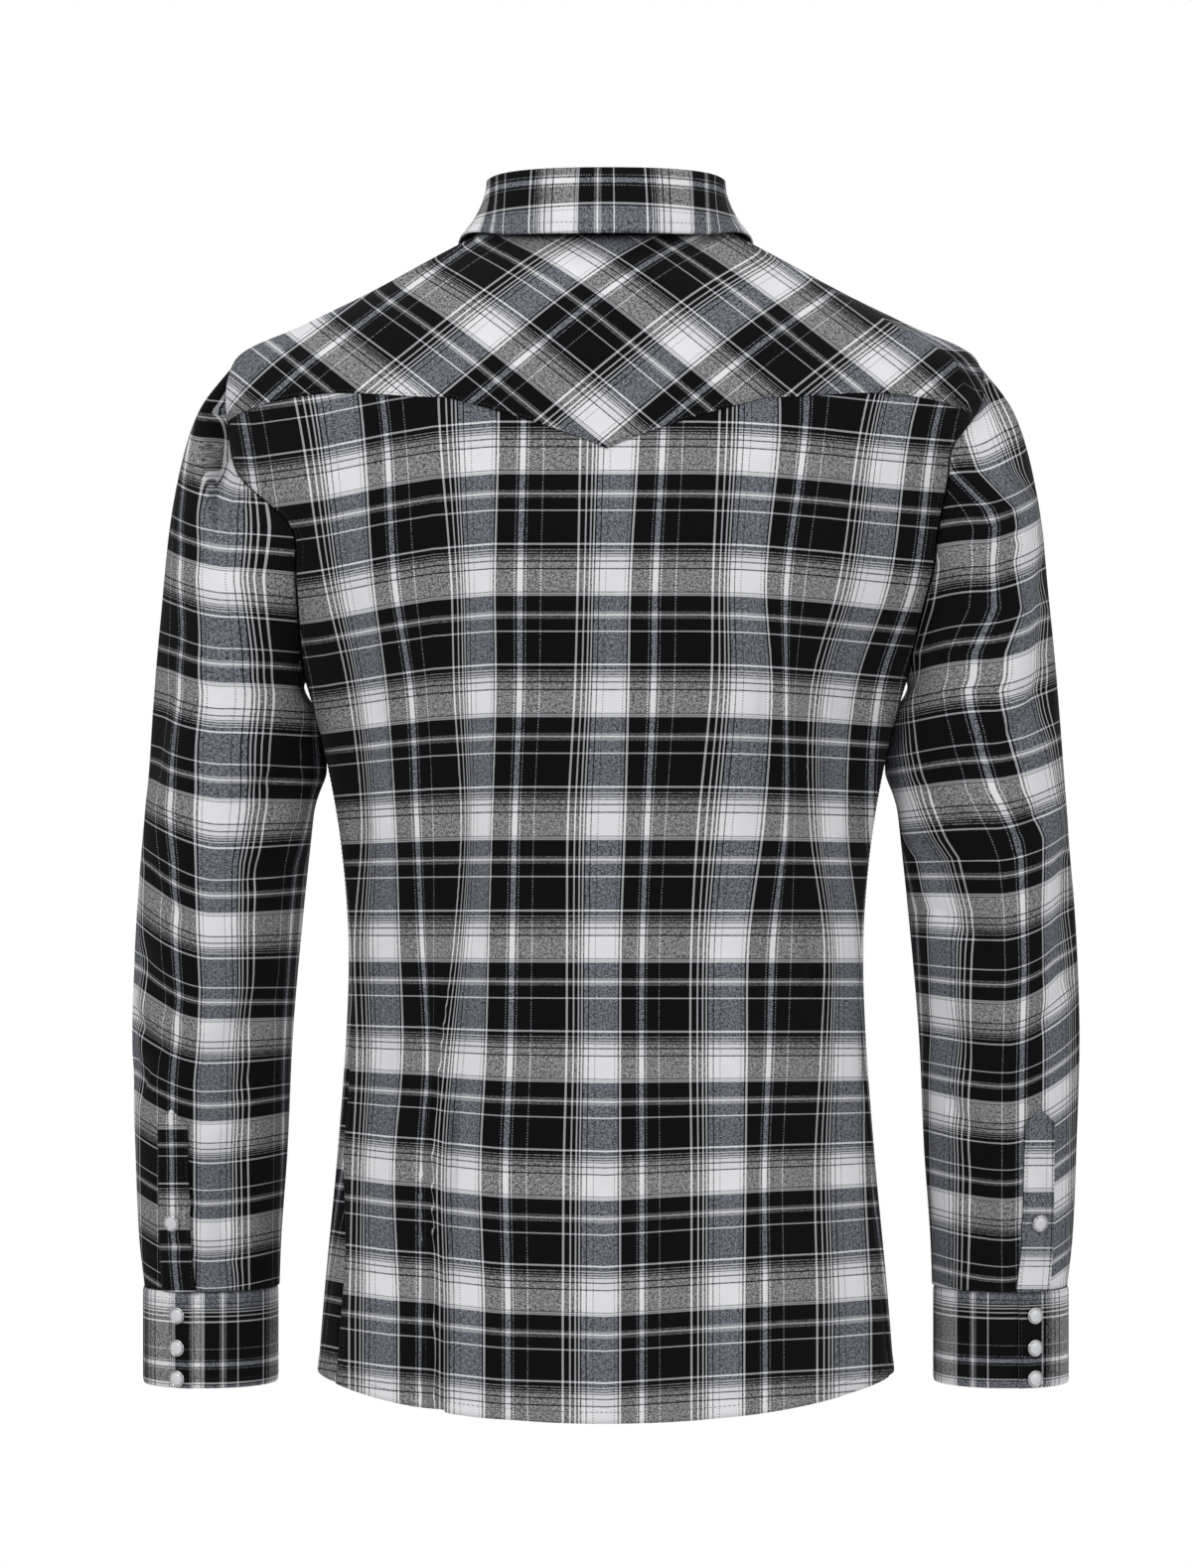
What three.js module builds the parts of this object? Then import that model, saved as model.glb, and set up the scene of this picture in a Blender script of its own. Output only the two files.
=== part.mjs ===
// A man's western snap shirt in checked flannel, filled out as if worn, with nobody in it.
// Millimetres, +Z up. The front faces -Y and the wearer's left arm hangs at +X.
// The origin is the middle of the neck opening, level with the shoulders that carry the shirt.

import * as THREE from "three";

// Walls and seams
const CLOTH = 1.5;
const DOUBLED = 1.8;
const SEAM_GAP = 0.3;
const ARMHOLE_TRIM = 0.5;
const NECK_TRIM = 0.6;

// Front closing
const BAND_WIDTH = 32;
const BAND_TOP = 6;
const WRAP_START = 52;
const SNAP_RADIUS = 5.4;
const FRONT_SNAPS = 7;
const FIRST_SNAP_DOWN = 58;
const LAST_SNAP_DOWN = 610;

// Armhole, measured on the body in degrees round it and millimetres of cloth down from the neck
const ARMHOLE_TOP = 112;
const ARMHOLE_BOTTOM = 286;
const ARMHOLE_HALF_BACK = 17;
const ARMHOLE_HALF_FRONT = 21;

// Back yoke seam: a point in the middle, then two flat shoulders
const YOKE_POINT_Z = -137;
const YOKE_NOTCH_X = 98;
const YOKE_NOTCH_Z = -105;
const YOKE_CREST_X = 168;
const YOKE_CREST_Z = -101;

// Degrees round the armhole, from its top, of the edges that the body and the sleeve share.
// The yoke's seams meet the armhole at the fourth of them.
const ARMHOLE_ANGLES = [0, 17, 35, 52, 67, 82, 98, 113, 128, 144, 162, 180];
const YOKE_ANGLE = 52;

// Shirt tail
const HEM_BACK_Z = -731;
const HEM_SIDE_Z = -711;
const HEM_FRONT_Z = -727;
const HEM_HALF_WIDTH = 182;

// Sleeve end, cuff and sleeve opening
const CUFF_TOP_Z = -662.5;
const CUFF_BOTTOM_Z = -723.5;
const CUFF_MIDDLE_X = 253;
const CUFF_MIDDLE_Y = -32;
const CUFF_HALF_WIDTH = 41;
const CUFF_HALF_DEPTH = 37;
const CUFF_EDGE_TURN = 79;
const CUFF_OVERLAP_TURN = 34;
const CUFF_SNAP_TURN = 66;
const CUFF_SNAP_DROPS = [15, 35.5, 55];
const OPENING_WIDTH = 22;
const OPENING_HEIGHT = 118;
const OPENING_POINT = 9;
const OPENING_SNAP_RISE = 45;

// Girths of the body. "down" is cloth measured down the middle of the back from the neck seam.
const GIRTHS = [
  { down: 0, halfWidth: 73, back: 59, front: 61, zSide: 9, zBack: -1, zFront: -67 },
  { down: 25, halfWidth: 107, back: 75, front: 74, zSide: -9, zBack: -21, zFront: -85 },
  { down: 55, halfWidth: 149, back: 89, front: 86, zSide: -32, zBack: -48, zFront: -105 },
  { down: 85, halfWidth: 192, back: 97, front: 96, zSide: -53, zBack: -77, zFront: -124 },
  { down: 112, halfWidth: 232, back: 102, front: 103, zSide: -73, zBack: -103, zFront: -142 },
  { down: 160, halfWidth: 237, back: 108, front: 111, zSide: -122, zBack: -150, zFront: -173 },
  { down: 210, halfWidth: 223, back: 110, front: 116, zSide: -185, zBack: -200, zFront: -208 },
  { down: 255, halfWidth: 201, back: 108, front: 119, zSide: -240, zBack: -245, zFront: -247 },
  { down: 300, halfWidth: 184.5, back: 104, front: 120, zSide: -290, zBack: -290, zFront: -290 },
  { down: 350, halfWidth: 172.5, back: 97, front: 115, zSide: -340, zBack: -340, zFront: -340 },
  { down: 400, halfWidth: 165, back: 91, front: 110, zSide: -390, zBack: -390, zFront: -390 },
  { down: 450, halfWidth: 161.5, back: 88, front: 107, zSide: -440, zBack: -440, zFront: -440 },
  { down: 510, halfWidth: 163, back: 88, front: 105, zSide: -500, zBack: -500, zFront: -500 },
  { down: 590, halfWidth: 169, back: 91, front: 105, zSide: -580, zBack: -580, zFront: -580 },
  { down: 670, halfWidth: 176.5, back: 95, front: 107, zSide: -660, zBack: -660, zFront: -660 },
  { down: 745, halfWidth: 182.5, back: 98, front: 109, zSide: -735, zBack: -735, zFront: -735 },
];
const BODY_SQUARENESS = 2.35;

// Sections of a sleeve. "down" is cloth measured down its outer line from the shoulder seam.
const SLEEVE = [
  { down: 0, xIn: 187.5, zIn: -275, xOut: 232, zOut: -72, yMid: -5, half: 64 },
  { down: 46, xIn: 191, zIn: -283, xOut: 257.5, zOut: -107, yMid: -4, half: 67 },
  { down: 103, xIn: 191, zIn: -293, xOut: 272.5, zOut: -162, yMid: -4, half: 69 },
  { down: 183, xIn: 188, zIn: -308, xOut: 281.5, zOut: -242, yMid: -5, half: 68 },
  { down: 233, xIn: 185, zIn: -326, xOut: 286, zOut: -292, yMid: -6, half: 67 },
  { down: 287, xIn: 186.5, zIn: -352, xOut: 290, zOut: -345, yMid: -6, half: 65 },
  { down: 364, xIn: 194, zIn: -423, xOut: 296.5, zOut: -423, yMid: -8, half: 61 },
  { down: 440, xIn: 201, zIn: -499, xOut: 300, zOut: -499, yMid: -13, half: 55 },
  { down: 515, xIn: 205, zIn: -574, xOut: 299, zOut: -574, yMid: -21, half: 49 },
  { down: 572, xIn: 209.5, zIn: -630, xOut: 297.5, zOut: -630, yMid: -28, half: 44 },
  { down: 604.5, xIn: 211, zIn: CUFF_TOP_Z, xOut: 294.5, zOut: CUFF_TOP_Z, yMid: -32, half: 38.5 },
];

// Largest folds of the back and front: soft troughs (negative) and ridges between two places.
// "across" is sideways from the middle, towards the wearer's left; "down" is as in GIRTHS.
const BACK_FOLDS = [
  { across: 82, down: 330, across2: 106, down2: 790, width: 15, depth: -7 },
  { across: 64, down: 330, across2: 82, down2: 790, width: 17, depth: 3 },
  { across: 130, down: 330, across2: 150, down2: 640, width: 15, depth: -4.5 },
  { across: 168, down: 215, across2: 128, down2: 380, width: 15, depth: -4.5 },
  { across: -98, down: 270, across2: -112, down2: 560, width: 15, depth: -6 },
  { across: -172, down: 205, across2: -132, down2: 400, width: 15, depth: -5 },
  { across: -132, down: 420, across2: -142, down2: 640, width: 15, depth: -4.5 },
  { across: 10, down: 420, across2: 4, down2: 790, width: 42, depth: 3 },
];
const FRONT_FOLDS = [
  { across: 176, down: 205, across2: 112, down2: 380, width: 15, depth: -5.5 },
  { across: -176, down: 205, across2: -118, down2: 370, width: 15, depth: -5 },
  { across: 104, down: 400, across2: 118, down2: 790, width: 15, depth: -5 },
  { across: -96, down: 390, across2: -116, down2: 790, width: 15, depth: -5.5 },
  { across: 70, down: 90, across2: 86, down2: 300, width: 20, depth: -3 },
  { across: -68, down: 90, across2: -84, down2: 320, width: 20, depth: -3 },
];

// Largest folds of the sleeves. "turn" is degrees from the outer line towards the back.
const LEFT_SLEEVE_FOLDS = [
  { turn: 150, down: 175, turn2: 118, down2: 330, width: 14, depth: -5 },
  { turn: 60, down: 130, turn2: 20, down2: 300, width: 14, depth: -4 },
  { turn: 15, down: 380, turn2: 70, down2: 430, width: 14, depth: -4 },
  { turn: 150, down: 400, turn2: 90, down2: 470, width: 14, depth: -4.5 },
  { turn: 4, down: 452, turn2: 42, down2: 474, width: 14, depth: -3.5 },
  { turn: 112, down: 480, turn2: 104, down2: 612, width: 14, depth: -4.5 },
  { turn: 215, down: 330, turn2: 250, down2: 420, width: 14, depth: -5 },
  { turn: 300, down: 410, turn2: 240, down2: 440, width: 14, depth: -4.5 },
  { turn: 285, down: 500, turn2: 270, down2: 612, width: 14, depth: -4 },
];
const RIGHT_SLEEVE_FOLDS = [
  { turn: 62, down: 60, turn2: 100, down2: 210, width: 14, depth: -4.5 },
  { turn: 24, down: 120, turn2: 50, down2: 260, width: 14, depth: -4.5 },
  { turn: 70, down: 230, turn2: 128, down2: 285, width: 14, depth: -5 },
  { turn: 160, down: 300, turn2: 92, down2: 400, width: 14, depth: -5.5 },
  { turn: 20, down: 300, turn2: 52, down2: 420, width: 14, depth: -4.5 },
  { turn: 150, down: 420, turn2: 96, down2: 480, width: 14, depth: -4 },
  { turn: 118, down: 500, turn2: 104, down2: 612, width: 14, depth: -4.5 },
  { turn: 215, down: 320, turn2: 255, down2: 410, width: 14, depth: -5 },
  { turn: 300, down: 430, turn2: 238, down2: 455, width: 14, depth: -4.5 },
  { turn: 285, down: 510, turn2: 268, down2: 612, width: 14, depth: -4 },
];

// Fold line of the collar, at the top of its stand
const FOLD_LINE = { halfWidth: 69.5, back: 57, front: 64, zSide: 37.5, zBack: 38, zFront: -30 };
const STAND_OVERLAP_TURN = 9;
const LEAF_START_TURN = 172;

// Outer edge of the collar leaf from the middle of the back to its front point.
// "share" is the way along the leaf, "bow" how far it bellies out on its way down.
const LEAF_EDGE = [
  { share: -0.3, x: -59, y: 56, z: -4, bow: 0 },
  { share: 0, x: 0, y: 75, z: -5.5, bow: 1 },
  { share: 0.3, x: 59, y: 56, z: -4, bow: 0 },
  { share: 0.52, x: 90.5, y: 6, z: 3.5, bow: -3.5 },
  { share: 0.68, x: 90, y: -44, z: -17, bow: -1 },
  { share: 0.84, x: 70, y: -80, z: -58, bow: 3 },
  { share: 1, x: 45, y: -96, z: -100, bow: 5 },
];

const WHOLE_TURN = 360;
const radians = THREE.MathUtils.degToRad;
const clamp = THREE.MathUtils.clamp;
const lerp = THREE.MathUtils.lerp;
const smooth = THREE.MathUtils.smoothstep;

// The value of a table's column at a place between its rows, on a smooth curve through them.
function between(table, placeColumn, at, column) {
  const last = table.length - 1;
  let i = 0;
  while (i < last - 1 && at > table[i + 1][placeColumn]) i++;
  const before = table[Math.max(i - 1, 0)];
  const start = table[i];
  const end = table[i + 1];
  const after = table[Math.min(i + 2, last)];
  const span = end[placeColumn] - start[placeColumn];
  const slopeStart = (end[column] - before[column]) / (end[placeColumn] - before[placeColumn]);
  const slopeEnd = (after[column] - start[column]) / (after[placeColumn] - start[placeColumn]);
  const s = (at - start[placeColumn]) / span;
  const rise = s * s * (3 - 2 * s);
  return (
    lerp(start[column], end[column], rise) +
    span * (s * (1 - s) * (1 - s) * slopeStart - s * s * (1 - s) * slopeEnd)
  );
}

// How far the folds of a table move the cloth outwards at a place, both in millimetres.
function foldShift(folds, across, down) {
  let shift = 0;
  for (const fold of folds) {
    const runAcross = fold.across2 - fold.across;
    const runDown = fold.down2 - fold.down;
    const length = Math.hypot(runAcross, runDown);
    const along = ((across - fold.across) * runAcross + (down - fold.down) * runDown) / length ** 2;
    const aside = ((across - fold.across) * runDown - (down - fold.down) * runAcross) / length;
    const fade = smooth(along, 0, 0.3) * (1 - smooth(along, 0.8, 1));
    shift += fold.depth * fade * Math.exp(-((aside / fold.width) ** 2));
  }
  return shift;
}

// A place on the bare body shape. "turn" is degrees from the middle of the back towards the left arm.
function bodyPlace(turn, down) {
  const at = (column) => between(GIRTHS, "down", down, column);
  const sine = Math.sin(radians(turn));
  const cosine = Math.cos(radians(turn));
  const halfWidth = at("halfWidth");
  const depth = cosine > 0 ? at("back") : at("front");
  const reach =
    (Math.abs(sine) / halfWidth) ** BODY_SQUARENESS + (Math.abs(cosine) / depth) ** BODY_SQUARENESS;
  const radius = reach ** (-1 / BODY_SQUARENESS);
  const folds = cosine > 0 ? BACK_FOLDS : FRONT_FOLDS;
  const sideways = Math.abs(radius * sine) / halfWidth;
  const shift = foldShift(folds, radius * sine, down) * (1 - smooth(sideways, 0.93, 0.995));
  const zMiddle = cosine > 0 ? at("zBack") : at("zFront");
  return new THREE.Vector3(
    (radius + shift) * sine,
    (radius + shift) * cosine,
    lerp(zMiddle, at("zSide"), sideways ** 4),
  );
}

// The direction out of a surface, found from places close by.
function outOf(place, u, v, stepU, stepV, facing) {
  const alongU = place(u + stepU, v).sub(place(u - stepU, v));
  const alongV = place(u, v + stepV).sub(place(u, Math.max(v - stepV, 0)));
  return alongU.cross(alongV).normalize().multiplyScalar(facing);
}

function bodyOut(turn, down) {
  return outOf(bodyPlace, turn, down, 0.5, 2, 1);
}

// A place moved out from the body's own face by a height, which may depend on where it is.
function bodyOffset(turn, down, height) {
  return bodyPlace(turn, down).addScaledVector(bodyOut(turn, down), height);
}

const ARMHOLE_MIDDLE = (ARMHOLE_TOP + ARMHOLE_BOTTOM) / 2;
const ARMHOLE_REACH = (ARMHOLE_BOTTOM - ARMHOLE_TOP) / 2;
const ARMHOLE_RADIUS = 215;

// A place on the armhole's edge, so many degrees from its top, moved out from the hole by a trim.
function armholeLevel(angle, trim) {
  return ARMHOLE_MIDDLE - (ARMHOLE_REACH + trim) * Math.cos(radians(angle));
}

function armholeTurn(angle, half, trim) {
  return (half + THREE.MathUtils.radToDeg(trim / ARMHOLE_RADIUS)) * Math.sin(radians(angle));
}

// Half the armhole's width in degrees at a level, for the back or the front of the body.
function armholeHalf(down, half, trim) {
  const level = clamp((ARMHOLE_MIDDLE - down) / (ARMHOLE_REACH + trim), -1, 1);
  return armholeTurn(THREE.MathUtils.radToDeg(Math.acos(level)), half, trim);
}

// The side seam runs from the foot of the armhole and eases towards the back on its way down.
function sideSeamTurn(down) {
  return 90 - 9 * smooth(down, ARMHOLE_BOTTOM, ARMHOLE_BOTTOM + 260);
}

// The yoke's corners, where its back and front seams run into the armhole.
const YOKE_CORNER = 90 - armholeTurn(YOKE_ANGLE, ARMHOLE_HALF_BACK, ARMHOLE_TRIM);
const YOKE_FRONT_TURN = 90 + armholeTurn(YOKE_ANGLE, ARMHOLE_HALF_FRONT, ARMHOLE_TRIM);
const yokeEnd = bodyPlace(YOKE_CORNER, armholeLevel(YOKE_ANGLE, ARMHOLE_TRIM));

// Height of the yoke's back seam, from the middle of the back outwards.
function yokeSeamZ(x) {
  const out = Math.abs(x);
  if (out < YOKE_NOTCH_X) {
    const share = out / YOKE_NOTCH_X;
    return lerp(YOKE_POINT_Z, YOKE_NOTCH_Z, share ** 0.9 * (1.1 - 0.1 * share));
  }
  if (out < YOKE_CREST_X) {
    return lerp(YOKE_NOTCH_Z, YOKE_CREST_Z, smooth(out, YOKE_NOTCH_X, YOKE_CREST_X));
  }
  return lerp(YOKE_CREST_Z, yokeEnd.z, ((out - YOKE_CREST_X) / (yokeEnd.x - YOKE_CREST_X)) ** 2);
}

// The level, in millimetres of cloth, where the body at a turn comes down to a height.
function levelWhere(turn, heightAt, low, high) {
  let above = low;
  let below = high;
  for (let i = 0; i < 24; i++) {
    const middle = (above + below) / 2;
    const place = bodyPlace(turn, middle);
    if (place.z > heightAt(place)) above = middle;
    else below = middle;
  }
  return (above + below) / 2;
}

function yokeSeamDown(turn) {
  return levelWhere(turn, (place) => yokeSeamZ(place.x), 60, 200);
}

function hemDown(turn) {
  const middle = Math.cos(radians(turn)) > 0 ? HEM_BACK_Z : HEM_FRONT_Z;
  const rise = (place) => Math.min(Math.abs(place.x) / HEM_HALF_WIDTH, 1) ** 2.35;
  return levelWhere(turn, (place) => lerp(middle, HEM_SIDE_Z, rise(place)), 600, 745);
}

// A closed wall: two faces over one grid of rows and columns, joined round the rim.
function wall(rowCount, columnCount, inner, outer, round = false) {
  const position = [];
  const index = [];
  for (const face of [inner, outer]) {
    for (let r = 0; r < rowCount; r++) {
      for (let c = 0; c < columnCount; c++) position.push(...face(r, c).toArray());
    }
  }
  const at = (face, r, c) => (face * rowCount + r) * columnCount + (c % columnCount);
  const quad = (a, b, c, d) => index.push(a, b, c, a, c, d);
  const lastColumn = round ? columnCount : columnCount - 1;
  for (let r = 0; r < rowCount - 1; r++) {
    for (let c = 0; c < lastColumn; c++) {
      quad(at(1, r, c), at(1, r + 1, c), at(1, r + 1, c + 1), at(1, r, c + 1));
      quad(at(0, r, c), at(0, r, c + 1), at(0, r + 1, c + 1), at(0, r + 1, c));
    }
    if (!round) {
      quad(at(0, r, 0), at(0, r + 1, 0), at(1, r + 1, 0), at(1, r, 0));
      const end = columnCount - 1;
      quad(at(1, r, end), at(1, r + 1, end), at(0, r + 1, end), at(0, r, end));
    }
  }
  const foot = rowCount - 1;
  for (let c = 0; c < lastColumn; c++) {
    quad(at(0, 0, c), at(1, 0, c), at(1, 0, c + 1), at(0, 0, c + 1));
    quad(at(1, foot, c), at(0, foot, c), at(0, foot, c + 1), at(1, foot, c + 1));
  }
  const geometry = new THREE.BufferGeometry();
  geometry.setAttribute("position", new THREE.Float32BufferAttribute(position, 3));
  geometry.setIndex(index);
  return geometry;
}

const flannel = new THREE.MeshStandardMaterial({ color: 0x3a3a3c, roughness: 0.95, metalness: 0 });
const yokeFlannel = new THREE.MeshStandardMaterial({ color: 0x4a4a4c, roughness: 0.95, metalness: 0 });
const pearl = new THREE.MeshStandardMaterial({ color: 0xdcdcda, roughness: 0.25, metalness: 0.1 });

const shirt = new THREE.Group();

function add(name, geometry, material, parent = shirt) {
  const mesh = new THREE.Mesh(geometry, material);
  mesh.name = name;
  parent.add(mesh);
  return mesh;
}

// Back panel, from the hem up to the yoke, between the side seams and the armholes.
const SEAM_TURNS = [0, 5.5, 11, 16.5, 22, 27.5, 33, 39, 45, 50, 55, 60, 64.5, 69, 73];
const LOWER_LEVELS = [700, 655, 610, 565, 520, 475, 430, 390, 350, 320, 300];
const besideArmhole = ARMHOLE_ANGLES.filter((angle) => angle > YOKE_ANGLE).reverse();
const BODY_LEVELS = [...LOWER_LEVELS, ...besideArmhole.map((angle) => armholeLevel(angle, ARMHOLE_TRIM))];

function backEdgeTurn(down, trim) {
  const armhole = 90 - armholeHalf(down, ARMHOLE_HALF_BACK, trim);
  return down > ARMHOLE_BOTTOM ? sideSeamTurn(down) : armhole;
}

// The two pieces that meet at the yoke seam share these columns, so their edges run side by side.
const halfSeam = [...SEAM_TURNS, YOKE_CORNER];
const seamTurns = [...halfSeam.slice(1).reverse().map((turn) => -turn), ...halfSeam];

// The columns next to an armhole draw together to pass it, and those far from it run straight on.
const DRAW_POWER = 4;

function backShare(seamTurn) {
  let share = 0;
  for (let i = 0; i < 60; i++) {
    share = (Math.abs(seamTurn) + (90 - YOKE_CORNER) * share ** DRAW_POWER) / 90;
  }
  return share;
}

function backPanel() {
  const rows = ["hem", ...BODY_LEVELS, "seam"];
  const shares = seamTurns.map(backShare);
  const place = (r, c) => {
    const side = Math.sign(seamTurns[c]);
    const draw = shares[c] ** DRAW_POWER;
    let down = rows[r] === "hem" ? 738 : rows[r] === "seam" ? 125 : rows[r];
    let turn = 0;
    for (let i = 0; i < 6; i++) {
      const full = down > ARMHOLE_BOTTOM ? sideSeamTurn(down) : 90;
      turn = side * (full * shares[c] - (full - backEdgeTurn(down, ARMHOLE_TRIM)) * draw);
      if (rows[r] === "seam") turn = seamTurns[c];
      if (rows[r] === "hem") down = hemDown(turn);
      if (rows[r] === "seam") down = yokeSeamDown(turn) + SEAM_GAP;
    }
    return { turn, down };
  };
  const face = (height) => (r, c) => {
    const { turn, down } = place(r, c);
    return bodyOffset(turn, down, height);
  };
  return wall(rows.length, seamTurns.length, face(0), face(CLOTH));
}
add("back_panel", backPanel(), flannel);

// Yoke: one piece over both shoulders, from the pointed seam behind to a seam in front of them.
const YOKE_ROWS = 7;

function yoke() {
  const seam = halfSeam.map((turn) => ({ turn, down: yokeSeamDown(turn) - SEAM_GAP }));
  const overShoulder = ARMHOLE_ANGLES.filter((angle) => angle < YOKE_ANGLE);
  const shoulder = (angles, half, sign) =>
    angles.map((angle) => ({
      turn: 90 + sign * armholeTurn(angle, half, ARMHOLE_TRIM),
      down: armholeLevel(angle, ARMHOLE_TRIM),
    }));
  const edge = [
    ...seam,
    ...shoulder([...overShoulder].reverse(), ARMHOLE_HALF_BACK, -1),
    ...shoulder([...overShoulder.slice(1), YOKE_ANGLE], ARMHOLE_HALF_FRONT, 1),
  ];
  const mirror = edge.slice(1).reverse().map(({ turn, down }) => ({ turn: -turn, down }));
  const columns = [...mirror, ...edge];
  const face = (height) => (r, c) => {
    const down = lerp(columns[c].down, NECK_TRIM, r / YOKE_ROWS);
    return bodyOffset(columns[c].turn, down, height);
  };
  return wall(YOKE_ROWS + 1, columns.length, face(0), face(CLOTH));
}
add("back_yoke", yoke(), yokeFlannel);

// Fronts, from the side seam and armhole to just past the middle, where the left laps over the right.
const FRONT_COLUMNS = 13;
const FRONT_LEVELS = [...BODY_LEVELS, armholeLevel(YOKE_ANGLE, ARMHOLE_TRIM), 122, 98, 73, 46, 20];

function frontEdgeTurn(down, trim) {
  const armhole = 90 + armholeHalf(down, ARMHOLE_HALF_FRONT, trim);
  const yokeSeam = YOKE_FRONT_TURN + THREE.MathUtils.radToDeg(SEAM_GAP / 150);
  if (down > ARMHOLE_BOTTOM) return sideSeamTurn(down);
  return down < ARMHOLE_MIDDLE ? Math.max(armhole, yokeSeam) : armhole;
}

// The turn, measured past the middle of the back, where the front is a distance right of the middle.
function turnAtX(x, down) {
  const depth = between(GIRTHS, "down", down, "front");
  return 180 - THREE.MathUtils.radToDeg(Math.atan2(x, depth));
}

// The left front rises over the right one as it nears the middle.
function wrapLift(x) {
  return (CLOTH + SEAM_GAP) * (1 - smooth(x, BAND_WIDTH / 2 + 6, WRAP_START));
}

function frontPlace(side, rows, r, c, outerColumns) {
  const seam = THREE.MathUtils.radToDeg(SEAM_GAP / 150);
  const share = c / outerColumns;
  let down = rows[r] === "hem" ? 735 : rows[r];
  let turn = 0;
  for (let i = 0; i < 5; i++) {
    const full = down > ARMHOLE_BOTTOM ? sideSeamTurn(down) : 90;
    const start = frontEdgeTurn(down, ARMHOLE_TRIM) + seam;
    const bandEdge = (BAND_WIDTH / 2) * (2 * (outerColumns - c) + 1);
    turn = lerp(full, turnAtX(BAND_WIDTH / 2, down), share);
    turn += (start - full) * (1 - share) ** (DRAW_POWER - 1);
    if (c > outerColumns) turn = turnAtX(bandEdge, down);
    if (rows[r] === "hem") down = hemDown(turn);
  }
  return { turn: side * turn, down };
}

const FRONT_ROWS = ["hem", ...FRONT_LEVELS, NECK_TRIM];

function frontPanel(side) {
  const lift = (place) => (side > 0 ? wrapLift(place.x) : 0);
  const face = (height) => (r, c) => {
    const { turn, down } = frontPlace(side, FRONT_ROWS, r, c, FRONT_COLUMNS);
    return bodyOffset(turn, down, height + lift(bodyPlace(turn, down)));
  };
  const [inner, outer] = [face(0), face(CLOTH)];
  // Columns run the other way on the right side, so that the faces still point out.
  const count = FRONT_COLUMNS + 2;
  const order = (c) => (side > 0 ? c : count - 1 - c);
  return wall(FRONT_ROWS.length, count, (r, c) => inner(r, order(c)), (r, c) => outer(r, order(c)));
}
add("front_left", frontPanel(1), flannel);
add("front_right", frontPanel(-1), flannel);

// Snap band down the left front's edge, laid on that front.
const BAND_BASE = 2 * CLOTH + 2 * SEAM_GAP;

function frontBand() {
  const rows = ["hem", ...FRONT_LEVELS, BAND_TOP];
  const face = (height) => (r, c) => {
    const { turn, down } = frontPlace(1, rows, r, FRONT_COLUMNS + c, FRONT_COLUMNS);
    return bodyOffset(turn, down, BAND_BASE + height);
  };
  return wall(rows.length, 2, face(0), face(DOUBLED));
}
add("front_band", frontBand(), flannel);

// A place on the bare sleeve on the wearer's left. "turn" is degrees from the outer line to the back.
function sleeveRing(turn, down) {
  const at = (column) => between(SLEEVE, "down", down, column);
  const cosine = Math.cos(radians(turn));
  const sine = Math.sin(radians(turn));
  return new THREE.Vector3(
    lerp(at("xIn"), at("xOut"), (1 + cosine) / 2),
    at("yMid") + at("half") * sine,
    lerp(at("zIn"), at("zOut"), (1 + cosine) / 2),
  );
}

// The armhole's own line, level with the panels' outer face.
function armholeLine(turn) {
  const half = Math.sin(radians(turn)) > 0 ? ARMHOLE_HALF_BACK : ARMHOLE_HALF_FRONT;
  return bodyOffset(90 - armholeTurn(turn, half, 0), armholeLevel(turn, 0), CLOTH);
}

const HEAD_EASE = 95;
const SLEEVE_ARC = 52;

function sleevePlace(folds, turn, down) {
  const place = sleeveRing(turn, down);
  const share = 1 - smooth(down, 0, HEAD_EASE);
  if (share > 0) place.add(armholeLine(turn).sub(sleeveRing(turn, 0)).multiplyScalar(share));
  const round = ((turn % WHOLE_TURN) + WHOLE_TURN) % WHOLE_TURN;
  const arc = (degrees) => radians(degrees) * SLEEVE_ARC;
  const rows = folds.map((fold) => ({ ...fold, across: arc(fold.turn), across2: arc(fold.turn2) }));
  const fade = smooth(down, 20, 90) * (1 - smooth(down, 585, 603));
  const shift = foldShift(rows, arc(round), down) * fade;
  place.x += shift * Math.cos(radians(turn));
  place.y += shift * Math.sin(radians(turn));
  return place;
}

function sleeveOffset(folds, turn, down, height) {
  const place = (u, v) => sleevePlace(folds, u, v);
  return place(turn, down).addScaledVector(outOf(place, turn, down, 1, 2, -1), height);
}

// The sleeve's wall starts inside the armhole's line and eases out to its full girth.
const SLEEVE_TURNS = [...ARMHOLE_ANGLES, ...ARMHOLE_ANGLES.slice(1, -1).reverse().map((angle) => 360 - angle)];
const SLEEVE_LEVELS = [
  0, 12, 28, 50, 78, 108, 140, 172, 204, 236, 268, 300, 332, 362, 390, 418, 446, 474, 502, 530, 558, 584, 603.8,
];

function sleeve(folds) {
  const face = (height) => (r, c) => {
    const down = SLEEVE_LEVELS[r];
    const inset = CLOTH * (1 - smooth(down, 0, HEAD_EASE));
    return sleeveOffset(folds, SLEEVE_TURNS[c], down, height - inset);
  };
  return wall(SLEEVE_LEVELS.length, SLEEVE_TURNS.length, face(0), face(CLOTH), true);
}

// Cuff: a doubled band round the wrist whose upper end laps over its lower end.
function cuffPlace(turn, height, rise) {
  const round = ((turn % WHOLE_TURN) + WHOLE_TURN) % WHOLE_TURN;
  return new THREE.Vector3(
    CUFF_MIDDLE_X + (CUFF_HALF_WIDTH + rise) * Math.cos(radians(round)),
    CUFF_MIDDLE_Y + (CUFF_HALF_DEPTH + rise) * Math.sin(radians(round)),
    height,
  );
}

const CUFF_COLUMNS = 30;

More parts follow.
